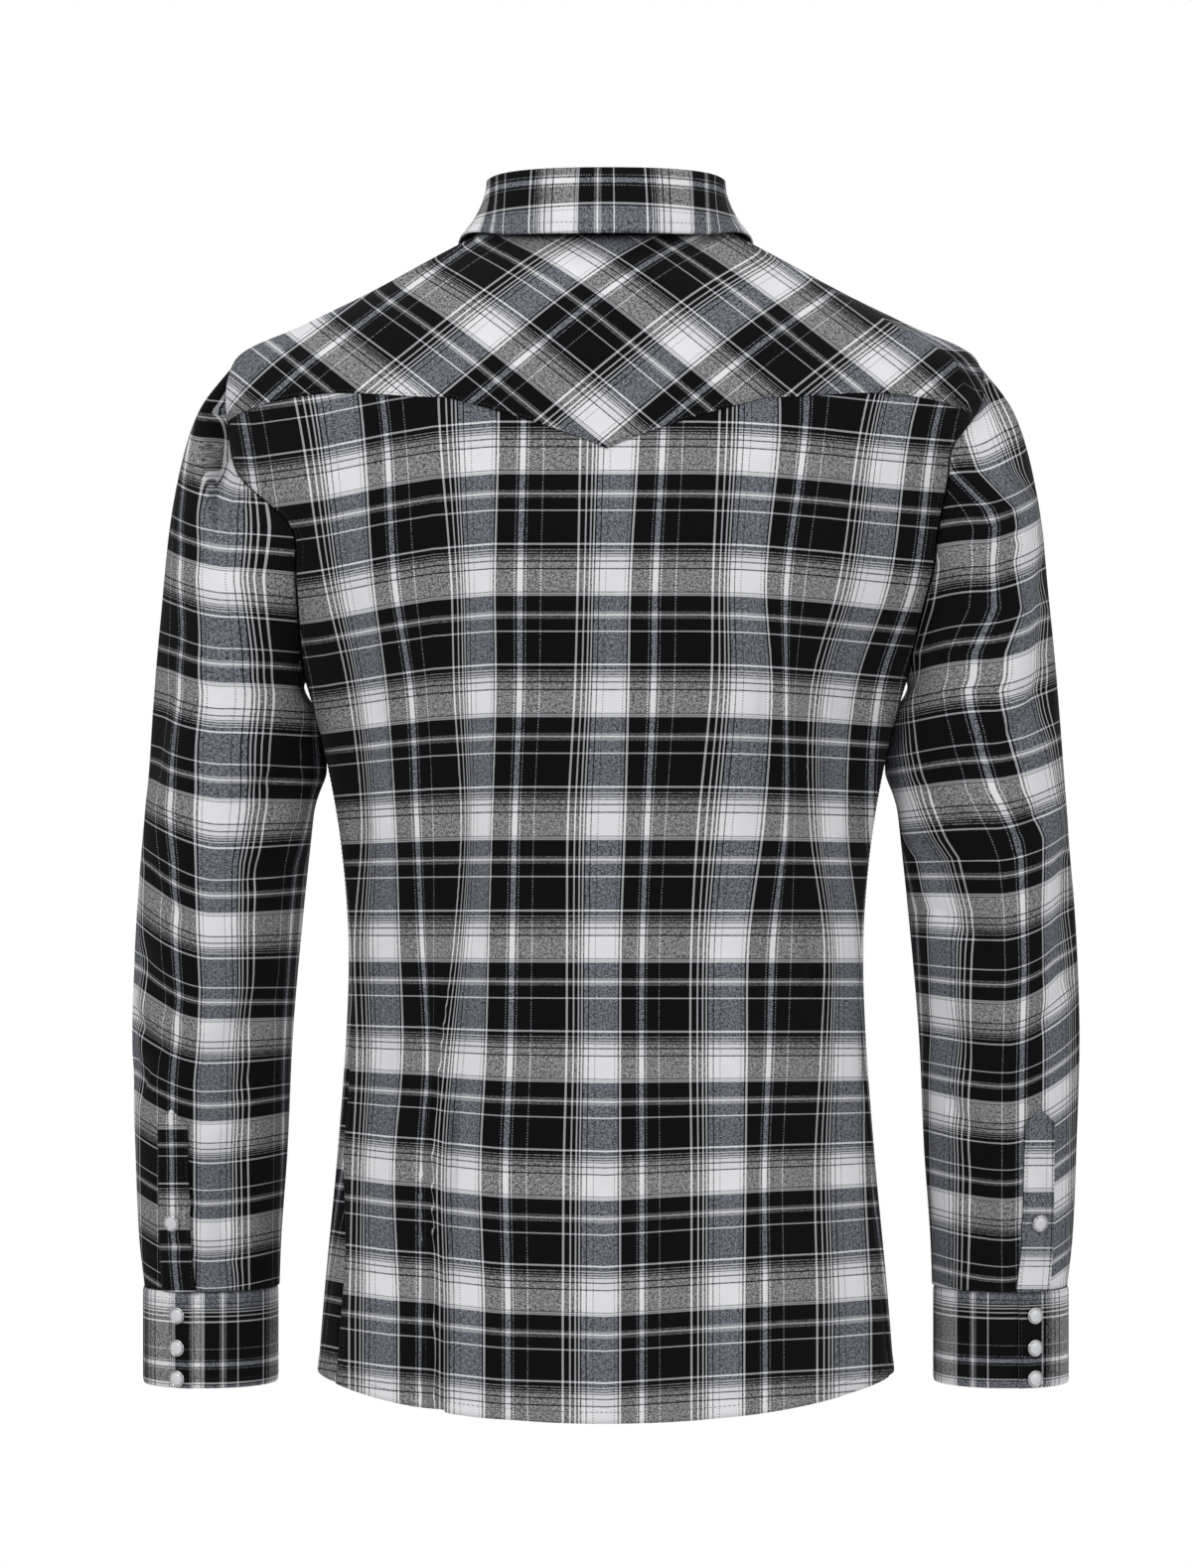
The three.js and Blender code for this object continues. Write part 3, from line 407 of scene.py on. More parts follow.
def make_stitch_tree():
    """Puts one lockstitch at every point, along the seam and flat on the cloth."""
    tree = bpy.data.node_groups.new("lockstitches", "GeometryNodeTree")
    face = tree.interface
    face.new_socket("Geometry", in_out="INPUT", socket_type="NodeSocketGeometry")
    for name, value in (("Length", 0.00215), ("Width", 0.00042), ("Rise", 0.0003)):
        face.new_socket(name, in_out="INPUT", socket_type="NodeSocketFloat").default_value = value
    face.new_socket("Thread", in_out="INPUT", socket_type="NodeSocketMaterial")
    face.new_socket("Geometry", in_out="OUTPUT", socket_type="NodeSocketGeometry")
    nodes, links = tree.nodes, tree.links
    given, made = nodes.new("NodeGroupInput"), nodes.new("NodeGroupOutput")
    stitch, scale, put = (
        nodes.new("GeometryNodeMeshUVSphere"), nodes.new("ShaderNodeCombineXYZ"),
        nodes.new("GeometryNodeInstanceOnPoints"))
    stitch.inputs["Segments"].default_value, stitch.inputs["Rings"].default_value = 6, 4
    stitch.inputs["Radius"].default_value = 0.5
    for axis, name in zip("XYZ", ("Length", "Width", "Rise")):
        links.new(given.outputs[name], scale.inputs[axis])
    turn = None
    for axis, name, pivot in (("X", "along", "AUTO"), ("Z", "out", "X")):
        field, align = (
            nodes.new("GeometryNodeInputNamedAttribute"), nodes.new("FunctionNodeAlignRotationToVector"))
        field.data_type = "FLOAT_VECTOR"
        field.inputs["Name"].default_value = name
        align.axis, align.pivot_axis = axis, pivot
        links.new(next(o for o in field.outputs if o.enabled), align.inputs["Vector"])
        if turn is not None:
            links.new(turn, align.inputs["Rotation"])
        turn = align.outputs["Rotation"]
    real, soft, finish = (
        nodes.new("GeometryNodeRealizeInstances"), nodes.new("GeometryNodeSetShadeSmooth"),
        nodes.new("GeometryNodeSetMaterial"))
    links.new(given.outputs["Geometry"], put.inputs["Points"])
    links.new(stitch.outputs["Mesh"], put.inputs["Instance"])
    links.new(scale.outputs[0], put.inputs["Scale"])
    links.new(turn, put.inputs["Rotation"])
    links.new(put.outputs[0], real.inputs[0])
    links.new(real.outputs[0], soft.inputs[0])
    links.new(soft.outputs[0], finish.inputs["Geometry"])
    links.new(given.outputs["Thread"], finish.inputs["Material"])
    links.new(finish.outputs[0], made.inputs[0])
    return tree


lockstitches = make_stitch_tree()
STITCH_PITCH = 2.9


def seam_row(outer, inner, inside, edge="foot"):
    """A row that runs a distance inside one edge of a piece, as places and outward directions."""
    turned = {
        "foot": lambda g: g, "top": lambda g: g[::-1], "start": lambda g: g.transpose(1, 0, 2),
        "end": lambda g: g.transpose(1, 0, 2)[::-1],
    }[edge]
    grid, out = turned(outer), turned(outer - inner)
    steps = np.linalg.norm(np.diff(grid, axis=0), axis=-1)
    arc = np.concatenate([np.zeros((1, grid.shape[1])), np.cumsum(steps, axis=0)])
    row = np.clip((arc < inside).sum(0) - 1, 0, len(grid) - 2)
    column = np.arange(grid.shape[1])
    share = ((inside - arc[row, column]) / np.maximum(steps[row, column], 1e-6))[:, None]
    share = np.clip(share, 0, 1)
    places = lerp(grid[row, column], grid[row + 1, column], share)
    ways = lerp(out[row, column], out[row + 1, column], share)
    return places, ways / np.linalg.norm(ways, axis=-1, keepdims=True)


def stitch(name, rows, trim=1.5):
    """Lockstitches along rows of places, as one piece of thread."""
    places, alongs, outs = [], [], []
    for line, out in rows:
        arc = np.concatenate([[0], np.cumsum(np.linalg.norm(np.diff(line, axis=0), axis=1))])
        count = max(int((arc[-1] - 2 * trim) / STITCH_PITCH), 2)
        at = np.linspace(trim, arc[-1] - trim, count)
        along = np.stack([np.interp(at + 0.5, arc, line[:, k]) - np.interp(at - 0.5, arc, line[:, k])
                          for k in range(3)], -1)
        away = np.stack([np.interp(at, arc, out[:, k]) for k in range(3)], -1)
        places.append(np.stack([np.interp(at, arc, line[:, k]) for k in range(3)], -1) + away * 0.06)
        alongs.append(along)
        outs.append(away)
    base = bpy.data.meshes.new(name + "_base")
    base.from_pydata((np.concatenate(places) / 1000).tolist(), [], [])
    for label, values in (("along", alongs), ("out", outs)):
        base.attributes.new(label, "FLOAT_VECTOR", "POINT").data.foreach_set(
            "vector", np.concatenate(values).astype(np.float32).ravel())
    worker = bpy.data.objects.new(name + "_base", base)
    bpy.context.scene.collection.objects.link(worker)
    modifier = worker.modifiers.new("lockstitches", "NODES")
    modifier.node_group = lockstitches
    for item in lockstitches.interface.items_tree:
        if item.in_out == "INPUT" and item.name == "Thread":
            modifier[item.identifier] = thread
    ready = worker.evaluated_get(bpy.context.evaluated_depsgraph_get())
    mesh = bpy.data.meshes.new_from_object(ready)
    mesh.name = name
    worker.modifiers.remove(modifier)
    bpy.data.objects.remove(worker)
    piece = bpy.data.objects.new(name, mesh)
    bpy.context.scene.collection.objects.link(piece)
    return piece


# The check: warp stripes repeat every 84.5 mm and weft stripes every 73.5 mm. Each row is where a
# stripe starts and its yarn: 1 is white, 0 black, 0.5 dotted, and the rest shows through the nap.
WARP_REPEAT = 0.0845
WARP_STRIPES = (
    (0, 1), (1.1, 0), (4.35, 1), (5.45, 0), (7.65, 1), (8.75, 0), (9.95, 1), (11.05, 0), (12, 1),
    (14.65, 0), (15.35, 1), (19, 0.5), (19.6, 1), (32.2, 0.5), (32.8, 1), (34.65, 0), (35.6, 1),
    (36.95, 0), (47.35, 0.5), (48.05, 0), (49.3, 1), (52.8, 0), (53.85, 0.5), (54.55, 0),
    (62.75, 0.5), (63.45, 0),
)
WEFT_REPEAT = 0.0735
WEFT_STRIPES = (
    (0, 0.9), (0.9, 0), (3.5, 0.7), (4.3, 0), (5.2, 0.7), (6, 0), (6.8, 0.7), (7.5, 0.05),
    (8.3, 0.85), (10.6, 0.05), (11.4, 0.9), (15.1, 0.05), (15.9, 1), (29.4, 0.2), (29.95, 0.9),
    (30.75, 0.3), (31.25, 0.8), (32.1, 0), (41.5, 0.3), (43.1, 1), (44.2, 0.3), (46.2, 0),
    (53.4, 0.8), (54.2, 0),
)


def make_check_weave():
    """The woven check as a colour, the nap's roughness and the height of its twill."""
    group = bpy.data.node_groups.new("check weave", "ShaderNodeTree")
    face = group.interface

    def socket(name, kind, way, value=None):
        made = face.new_socket(name, in_out=way, socket_type=kind)
        if value is not None:
            made.default_value = value

    socket("Place", "NodeSocketVector", "INPUT")
    socket("White", "NodeSocketColor", "INPUT", (0.78, 0.78, 0.80, 1))
    socket("White On Black", "NodeSocketColor", "INPUT", (0.215, 0.215, 0.218, 1))
    socket("Black On White", "NodeSocketColor", "INPUT", (0.135, 0.143, 0.165, 1))
    socket("Black", "NodeSocketColor", "INPUT", (0.0038, 0.0038, 0.0042, 1))
    socket("Line", "NodeSocketColor", "INPUT", (0.33, 0.335, 0.35, 1))
    socket("Fray", "NodeSocketFloat", "INPUT", 0.00028)
    socket("Speckle", "NodeSocketFloat", "INPUT", 0.62)
    socket("Color", "NodeSocketColor", "OUTPUT")
    socket("Roughness", "NodeSocketFloat", "OUTPUT")
    socket("Height", "NodeSocketFloat", "OUTPUT")
    nodes, links = group.nodes, group.links
    given, made = nodes.new("NodeGroupInput"), nodes.new("NodeGroupOutput")

    def math_node(operation, a, b=None, c=None):
        node = nodes.new("ShaderNodeMath")
        node.operation = operation
        for i, value in enumerate((a, b, c)):
            if isinstance(value, (int, float)):
                node.inputs[i].default_value = value
            elif value is not None:
                links.new(value, node.inputs[i])
        return node.outputs[0]

    def noise(scale, detail=2.0, vector=given.outputs["Place"]):
        node = nodes.new("ShaderNodeTexNoise")
        node.inputs["Scale"].default_value = scale
        node.inputs["Detail"].default_value = detail
        links.new(vector, node.inputs["Vector"])
        return node

    def stripes(place, repeat, table):
        ramp = nodes.new("ShaderNodeValToRGB")
        ramp.color_ramp.interpolation = "CONSTANT"
        points = ramp.color_ramp.elements
        points.remove(points[1])
        for start, value in table:
            where = start / 1000 / repeat
            point = points[0] if start == 0 else points.new(where)
            after = next((s for s, _ in table if s > start), repeat * 1000)
            point.color = (value, float(value >= 0.8 and after - start < 1.45), 0, 1)
        links.new(math_node("FRACT", math_node("DIVIDE", place, repeat)), ramp.inputs[0])
        parts = nodes.new("ShaderNodeSeparateColor")
        links.new(ramp.outputs[0], parts.inputs[0])
        return parts.outputs[0], parts.outputs[1]

    def mix(share, a, b, blend="MIX"):
        node = nodes.new("ShaderNodeMix")
        node.data_type, node.blend_type = "RGBA", blend
        for socket_name, value in ((0, share), (6, a), (7, b)):
            if isinstance(value, (int, float)):
                node.inputs[socket_name].default_value = value
            else:
                links.new(value, node.inputs[socket_name])
        return node.outputs[2]

    split = nodes.new("ShaderNodeSeparateXYZ")
    links.new(given.outputs["Place"], split.inputs[0])
    frayed = nodes.new("ShaderNodeSeparateColor")
    links.new(noise(2100, 1.0).outputs["Color"], frayed.inputs[0])
    across = math_node(
        "MULTIPLY_ADD", math_node("SUBTRACT", frayed.outputs[0], 0.5), given.outputs["Fray"], split.outputs[0])
    along = math_node(
        "MULTIPLY_ADD", math_node("SUBTRACT", frayed.outputs[1], 0.5), given.outputs["Fray"], split.outputs[1])
    # The second value marks the single white lines, whose yarn is thicker and stands out on black.
    warp, warp_line = stripes(across, WARP_REPEAT, WARP_STRIPES)
    weft, weft_line = stripes(along, WEFT_REPEAT, WEFT_STRIPES)
    # A dotted yarn floats over two picks and dives under two.
    dot = math_node("GREATER_THAN", math_node("FRACT", math_node("DIVIDE", along, 0.0017)), 0.42)
    dotted = math_node("SUBTRACT", 1, math_node("ABSOLUTE", math_node("MULTIPLY_ADD", warp, 2, -1)))
    warp = math_node("MULTIPLY_ADD", math_node("SUBTRACT", dot, 0.5), dotted, warp)
    speckle = noise(1150, 2.0).outputs["Fac"]
    tuft = noise(520, 2.0).outputs["Fac"]
    grain = math_node("ADD", math_node("MULTIPLY", speckle, 0.65), math_node("MULTIPLY", tuft, 0.35))
    grain = math_node("MULTIPLY", math_node("SUBTRACT", grain, 0.5), given.outputs["Speckle"])
    grain = math_node("MULTIPLY_ADD", grain, 12, 1)
    grain = math_node("MAXIMUM", grain, 0.12)
    on_black, on_white = nodes.new("ShaderNodeVectorMath"), nodes.new("ShaderNodeVectorMath")
    for node, name in ((on_black, "White On Black"), (on_white, "Black On White")):
        node.operation = "SCALE"
        links.new(given.outputs[name], node.inputs[0])
        links.new(grain, node.inputs["Scale"])
    low = mix(warp, given.outputs["Black"], mix(warp_line, on_white.outputs[0], given.outputs["Line"]))
    high = mix(warp, mix(weft_line, on_black.outputs[0], given.outputs["Line"]), given.outputs["White"])
    colour = mix(weft, low, high)
    # Twill: fine diagonal ribs, two threads of rise for two of run. The ribs' light and shade are painted into
    # the colour as well as given to the bump; the cloudy noise is the nap's own uneven tone.
    diagonal = math_node("ADD", split.outputs[0], split.outputs[1])
    rib = math_node("SINE", math_node("MULTIPLY", diagonal, 2 * math.pi / 0.0011))
    cloudy = noise(55, 3.0).outputs["Fac"]
    # Painted shade of the twill ribs, plus the nap's uneven tone, scales the colour.
    rib_shade_and_nap_tone = math_node("MULTIPLY_ADD", rib, 0.035, 1)
    rib_shade_and_nap_tone = math_node("ADD", rib_shade_and_nap_tone, math_node("MULTIPLY_ADD", cloudy, 0.16, -0.08))
    lit = nodes.new("ShaderNodeVectorMath")
    lit.operation = "SCALE"
    links.new(colour, lit.inputs[0])
    links.new(rib_shade_and_nap_tone, lit.inputs["Scale"])
    links.new(lit.outputs[0], made.inputs["Color"])
    links.new(math_node("MULTIPLY_ADD", speckle, 0.16, 0.84), made.inputs["Roughness"])
    nap = math_node("MULTIPLY_ADD", rib, 0.18, math_node("MULTIPLY", speckle, 0.6))
    rumple = math_node("MULTIPLY", noise(38, 2.0).outputs["Fac"], 3.0)
    links.new(math_node("ADD", nap, rumple), made.inputs["Height"])
    return group


check_weave = make_check_weave()


def flannel_material(name, depth):
    """Brushed twill: dull, a little velvety at grazing light, with its nap as fine relief."""
    material = bpy.data.materials.new(name)
    material.use_nodes = True
    nodes, links = material.node_tree.nodes, material.node_tree.links
    finish = nodes["Principled BSDF"]
    finish.inputs["Specular IOR Level"].default_value = 0.05
    finish.inputs["Sheen Weight"].default_value = 0.025
    finish.inputs["Sheen Roughness"].default_value = 0.6
    place, weave, bump = (
        nodes.new("ShaderNodeUVMap"), nodes.new("ShaderNodeGroup"), nodes.new("ShaderNodeBump"))
    place.uv_map = "cloth"
    weave.node_tree = check_weave
    bump.inputs["Strength"].default_value = 0.55
    bump.inputs["Distance"].default_value = depth
    links.new(place.outputs[0], weave.inputs["Place"])
    links.new(weave.outputs["Color"], finish.inputs["Base Color"])
    links.new(weave.outputs["Roughness"], finish.inputs["Roughness"])
    links.new(weave.outputs["Height"], bump.inputs["Height"])
    links.new(bump.outputs[0], finish.inputs["Normal"])
    return material


flannel = flannel_material("check flannel", 0.0004)

# Where the check's lines lie on the back, charted on the plane that touches the back: "fall"
# is below the neck, and the other columns are to the picture's right of the middle. Each repeat
# has its first white line, the far edge of its white band, and its narrow white stripe.
BACK_CLOTH = (-168.5, -132.6, -117.9, -84, -48.1, 0.5, 36.4, 85, 120.9, 135.6, 169.5, 205.4)
BACK_LINES = chart(
    "fall first_a edge_a narrow_a first_b edge_b first_c edge_c first_d edge_d narrow_d first_e edge_e",
    (145.6, -183, -146.6, -133.2, -100.3, -66.2, -16.2, 18.9, 67.9, 104.5, 119.1, 152, 182.2),
    (217.1, -172, -142.3, -129.5, -94.6, -68.1, -17.5, 14.7, 64.9, 97.6, 109.9, 142.1, 173),
    (283.7, -157.2, -134.1, -119.3, -92.9, -67.6, -19.4, 13.5, 63.7, 101.3, 109.9, 124.8, 152),
    (364, -149, -128.7, -115.6, -88.4, -69.9, -23.6, 11.5, 56, 96.3, 109.9, 124, 147),
    (435.9, -153.5, -126.3, -112.2, -92.9, -71.9, -24.1, 9, 51.8, 87, 101.8, 133, 154.5),
    (505, -152, -124.3, -108.2, -101.6, -73.6, -24.4, 8.5, 51.1, 85.9, 99.3, 131, 157),
    (575.2, -154.7, -129.5, -111.9, -107, -76.8, -26.1, 8.5, 51.8, 85.2, 96.4, 127.3, 157.7),
    (649.5, -156.5, -127, -112.7, -105.7, -74.8, -26.6, 8.5, 51.8, 84.5, 96.8, 128.5, 161.1),
)
WARP_MM, WEFT_MM = WARP_REPEAT * 1000, WEFT_REPEAT * 1000
# Falls at which a repeat of the rows starts, down the middle of the back.
ROW_FALLS = (193.9, 267.5, 342.2, 417.7, 491.6, 564.7, 635.2, 706.1)
ROW_SPACING = 74.6


def rows_down(fall, falls=ROW_FALLS, spacing=ROW_SPACING):
    """Cloth down the check at a fall, the first of the falls being its start."""
    above = [falls[0] - spacing * k for k in (4, 3, 2, 1)]
    below = [falls[-1] + (falls[-1] - falls[-2]) * k for k in (1, 2)]
    full = [*above, *falls, *below]
    return np.interp(fall, full, (np.arange(len(full)) - 4) * WEFT_MM)


# How far a row hangs below its middle at the chest, and rises above it near the hem, by distance
# from the middle of the back.
LEFT_ROWS = chart(
    "out sag rise", (0, 0, 0), (61, 0, 1.9), (70, 0, 2.6), (94, 2, 5.4), (99, 2.5, 5.6), (105, 2.9, 8.2),
    (133, 7.6, 10.2), (161, 13.4, 14), (173, 16, 16.5), (215, 22, 22))
RIGHT_ROWS = chart(
    "out sag rise", (0, 0, 0), (57, 0, 3.8), (83, 0.6, 5.3), (104, 2, 6.8), (134, 4.6, 8.2), (161, 7.6, 10.5),
    (183, 9.6, 12), (215, 12, 14))


def sag(aside, fall):
    """How much lower than in the middle of the back a row hangs."""
    left = np.interp(-aside, LEFT_ROWS["out"], LEFT_ROWS["sag"]) * (1 - smooth(fall, 225, 440))
    left -= np.interp(-aside, LEFT_ROWS["out"], LEFT_ROWS["rise"]) * smooth(fall, 430, 590)
    right = np.interp(aside, RIGHT_ROWS["out"], RIGHT_ROWS["sag"]) * (1 - smooth(fall, 225, 440))
    right -= np.interp(aside, RIGHT_ROWS["out"], RIGHT_ROWS["rise"]) * smooth(fall, 490, 620)
    return np.where(aside < 0, left, right)


def back_check(place):
    aside, fall = on_plane(place, BACK_PLANE)
    at = np.clip(fall, 100, 665)
    lines = [between(BACK_LINES, name, at, "fall") for name in BACK_LINES if name != "fall"]
    across = BACK_CLOTH[0] + (aside - lines[0])
    for i in range(len(lines) - 1):
        share = (aside - lines[i]) / np.maximum(lines[i + 1] - lines[i], 1)
        across = np.where(aside > lines[i], lerp(BACK_CLOTH[i], BACK_CLOTH[i + 1], share), across)
    across = np.where(aside > lines[-1], BACK_CLOTH[-1] + (aside - lines[-1]), across)
    return np.stack([across, rows_down(fall - sag(aside, fall))], -1)


BACK_COLUMNS = 221
DRAW_POWER = 4
# Just above the seam the panel dips under the yoke: how far past the seam, and how deep.
TUCK_UNDER = ((-2.5, 0), (-0.8, -0.5), (1, -1.2), (4, -1.6), (7, -1.6))


def back_grid():
    """The panel's turns and levels, from the hem up to under the yoke, and its heights."""
    way = np.linspace(-1, 1, BACK_COLUMNS)
    share, side = abs(way), np.sign(way)
    corner = np.where(side > 0, LEFT_CORNER, RIGHT_CORNER)
    hem = hem_down(side * share * side_seam_turn(735, side))
    seam = yoke_seam_down(side * (90 * share - (90 - corner) * share**DRAW_POWER))
    levels = [lerp(hem, ARMHOLE_BOTTOM + 1, t) for t in np.linspace(0, 1, 128)]
    levels += [np.full(BACK_COLUMNS, armhole_level(a, ARMHOLE_TRIM)) for a in np.arange(180, 69, -3.0)]
    levels += [lerp(armhole_level(70, ARMHOLE_TRIM), seam + 3, t) for t in np.linspace(0.1, 1, 9)]
    levels += [seam - past for past, _ in TUCK_UNDER]
    levels = np.array(levels)
    height = np.zeros_like(levels)
    height[-len(TUCK_UNDER):] = np.array([deep for _, deep in TUCK_UNDER])[:, None]
    full = np.where(levels > ARMHOLE_BOTTOM, side_seam_turn(levels, side), 90)
    half = [armhole_half(np.maximum(levels, YOKE_LEVEL), s, ARMHOLE_TRIM) for s in (LEFT_ARMHOLE, RIGHT_ARMHOLE)]
    edge = np.where(levels > ARMHOLE_BOTTOM, full, 90 - np.where(side > 0, half[0], half[1]))
    turns = side * (full * share - (full - edge) * share**DRAW_POWER)
    # The side seams and armholes sink a little, and the turned-up hem stands a little proud.
    from_edge = (1 - share) * 230
    height = height - 0.7 * np.exp(-((from_edge / 2.4) ** 2))
    height += 0.45 * (1 - smooth(hem - levels, 6, 8)) * (levels > 600)
    return turns, levels, height + CLOTH


turns, levels, height = back_grid()
back_outer = body_offset(turns, levels, height)
back_inner = body_offset(turns, levels, height - THREAD_THICK)
back_panel = cloth_piece("shirt_back", back_outer, back_inner, back_check(back_outer), [flannel])
stitches = stitch("shirt_back_stitches", [
    seam_row(back_outer, back_inner, 7), seam_row(back_outer, back_inner, 6, "start"),
    seam_row(back_outer, back_inner, 6, "end")])
sew(back_panel, "back_panel", stitches=[stitches])

# YOKE
# One piece of the same flannel cut on the bias, so that its checks stand as diamonds. It covers the
# shoulders, laps the back in a point and two flat shoulders, and ends in a seam in front.
YOKE_PROUD = 0.55
NECK_TRIM = 0.6
SEAM_COLUMNS = 74
BIAS_DOWN, BIAS_ACROSS = (0.736, 0.795), (0.634, -0.676)
BIAS_MIDDLE, BIAS_FIELD = (5.6, 132), (26, 24.6)
POINT_DOWN, SEAM_STRETCH = 147.6, 1.03


def yoke_check(outer):
    """Cloth on the bias, laid flat: up from the back seam, then on over the top of the shoulders."""
    middle = outer.shape[1] // 2
    check = np.zeros(outer.shape[:2] + (2,))
    for side in (1, -1):
        half = outer[:, middle::side] * np.array([side, 1, 1])
        aside = half[..., 0].copy()
        down = np.zeros(half.shape[:2])
        down[0] = POINT_DOWN + SEAM_STRETCH * (YOKE_POINT_Z - half[0, :, 2])
        edge_steps = np.linalg.norm(np.diff(half[0, SEAM_COLUMNS - 1:], axis=0)[:, 1:], axis=-1)
        down[0, SEAM_COLUMNS:] = down[0, SEAM_COLUMNS - 1] - np.cumsum(edge_steps)
        rise = np.linalg.norm(np.diff(half, axis=0)[..., 1:], axis=-1)
        down[1:] = down[0] - np.cumsum(rise, axis=0)
        ridge = int(np.argmax(half[0, :, 2]))
        slope = np.gradient(half[:, ridge], axis=0)
        slope /= np.linalg.norm(slope, axis=-1, keepdims=True)
        flat = np.gradient(np.stack([aside[:, ridge], down[:, ridge]], -1), axis=0)
        flat /= np.linalg.norm(flat, axis=-1, keepdims=True)
        forward = np.stack([-flat[:, 1], flat[:, 0]], -1)
        for k in range(ridge + 1, half.shape[1]):
            step = half[:, k] - half[:, k - 1]
            up = np.sum(step * slope, -1)
            over = np.sqrt(np.maximum(np.sum(step * step, -1) - up * up, 0))
            aside[:, k] = aside[:, k - 1] + up * flat[:, 0] + over * forward[:, 0]
            down[:, k] = down[:, k - 1] + up * flat[:, 1] + over * forward[:, 1]
        for i in range(2):
            field = BIAS_FIELD[i] + BIAS_DOWN[i] * (down - BIAS_MIDDLE[1])
            check[:, middle::side, i] = field + BIAS_ACROSS[i] * (BIAS_MIDDLE[0] - side * aside)
    return check


def yoke_edge(corner, armhole):
    """Turns and levels from the middle of the back seam, past the shoulder, to the front seam."""
    share = np.linspace(0, 1, SEAM_COLUMNS)
    seam = 90 * share - (90 - corner) * share**DRAW_POWER
    shoulder = np.arange(3, YOKE_ANGLE + 0.1, 3.5)
    behind = 90 - armhole_turn(shoulder[::-1], armhole, ARMHOLE_TRIM)
    before = 90 + armhole_turn(np.append(shoulder, YOKE_ANGLE), None, ARMHOLE_TRIM)
    heights = [armhole_level(a, ARMHOLE_TRIM) for a in (*shoulder[::-1], 0, *shoulder, YOKE_ANGLE)]
    return np.concatenate([seam, behind, [90], before]), np.concatenate([yoke_seam_down(seam), heights])


def yoke_grid():
    left_turn, left_down = yoke_edge(LEFT_CORNER, LEFT_ARMHOLE)
    right_turn, right_down = yoke_edge(RIGHT_CORNER, RIGHT_ARMHOLE)
    turn = np.concatenate([-right_turn[:0:-1], left_turn])
    down = np.concatenate([right_down[:0:-1], left_down])
    rows = np.array([0, 0.006, 0.016, *np.linspace(0.04, 1, 34)])[:, None]
    levels = lerp(down, NECK_TRIM, rows)
    turns = np.broadcast_to(turn, levels.shape)
    # The folded edge is rounded, and lies flat again behind its row of stitches.
    proud = YOKE_PROUD * np.exp(-((rows * 140 / 9) ** 2)) - 0.3 * (rows < 0.004)
    return turns, levels, np.broadcast_to(CLOTH + 0.2 + proud, levels.shape)


turns, levels, height = yoke_grid()
yoke_outer = body_offset(turns, levels, height)
yoke_inner = body_offset(turns, levels, height - THREAD_THICK)
back_yoke = cloth_piece("shirt_yoke", yoke_outer, yoke_inner, yoke_check(yoke_outer), [flannel])
stitches = stitch("shirt_yoke_stitches", [
    seam_row(yoke_outer, yoke_inner, 1.6), seam_row(yoke_outer, yoke_inner, 1.6, "start"),
    seam_row(yoke_outer, yoke_inner, 1.6, "end")])
sew(back_yoke, "back_yoke", stitches=[stitches])

# FRONTS
# Two fronts on the straight grain, from the side seams and armholes to just past the middle, where
# the left one laps the right. The photograph doesn't show them, so they are finished plainly.
BAND_WIDTH = 32
WRAP_START = 52
SEAM_GAP = 0.3
FRONT_COLUMNS = 84
OVER_COLUMNS = 9
FRONT_CLOTH = 46
YOKE_FRONT_SEAM = YOKE_FRONT_TURN + math.degrees(SEAM_GAP / 150)


def turn_at_x(x, down):
    return 180 - np.degrees(np.arctan2(x, between(GIRTHS, "front", down)))


def wrap_lift(x):
    return (CLOTH + SEAM_GAP) * (1 - smooth(x, BAND_WIDTH / 2 + 6, WRAP_START))


def front_grid(top, columns, over, side=1):
    """Turns and levels of a front, from the hem up to a level and from the seam to past the middle."""
    share = np.minimum(np.arange(columns + over) / (columns - 1), 1)
    past = np.maximum(np.arange(columns + over) - (columns - 1), 0) / max(over, 1)
    x = BAND_WIDTH / 2 * (1 - 2 * past)
    hem = np.full(columns + over, 735.0)
    for _ in range(5):
        full = side_seam_turn(hem, side)
        turn = np.where(past > 0, turn_at_x(x, hem), lerp(full, turn_at_x(BAND_WIDTH / 2, hem), share))
        hem = hem_down(turn)
    levels = [lerp(hem, ARMHOLE_BOTTOM + 1, t) for t in np.linspace(0, 1, 118)]
    above = [armhole_level(a, ARMHOLE_TRIM) for a in np.arange(180, 53, -3.0)]
    above += list(np.linspace(armhole_level(YOKE_ANGLE, ARMHOLE_TRIM), top, 38))
    levels = np.array(levels + [np.full(columns + over, a) for a in above])
    full = np.where(levels > ARMHOLE_BOTTOM, side_seam_turn(levels, side), 90)
    armhole = 90 + armhole_half(levels, None, ARMHOLE_TRIM)
    start = np.where(levels < ARMHOLE_MIDDLE, np.maximum(armhole, YOKE_FRONT_SEAM), armhole)
    start = np.where(levels > ARMHOLE_BOTTOM, full, start) + math.degrees(SEAM_GAP / 150)
    turns = lerp(full, turn_at_x(BAND_WIDTH / 2, levels), share)
    turns = turns + (start - full) * (1 - share) ** (DRAW_POWER - 1)
    return np.where(past > 0, turn_at_x(x, levels), turns), levels, share


def front_check(outer, middle_column):
    """Cloth across from the middle of the front, and down to match the back at the side seam."""
    steps = np.linalg.norm(np.diff(outer, axis=1), axis=-1)
    arc = np.concatenate([np.zeros((len(outer), 1)), np.cumsum(steps, axis=1)], axis=1)
    aside, fall = on_plane(outer, BACK_PLANE)
    across = FRONT_CLOTH + arc[:, middle_column][:, None] - arc
    return np.stack([across, rows_down(fall - sag(aside, fall))], -1)


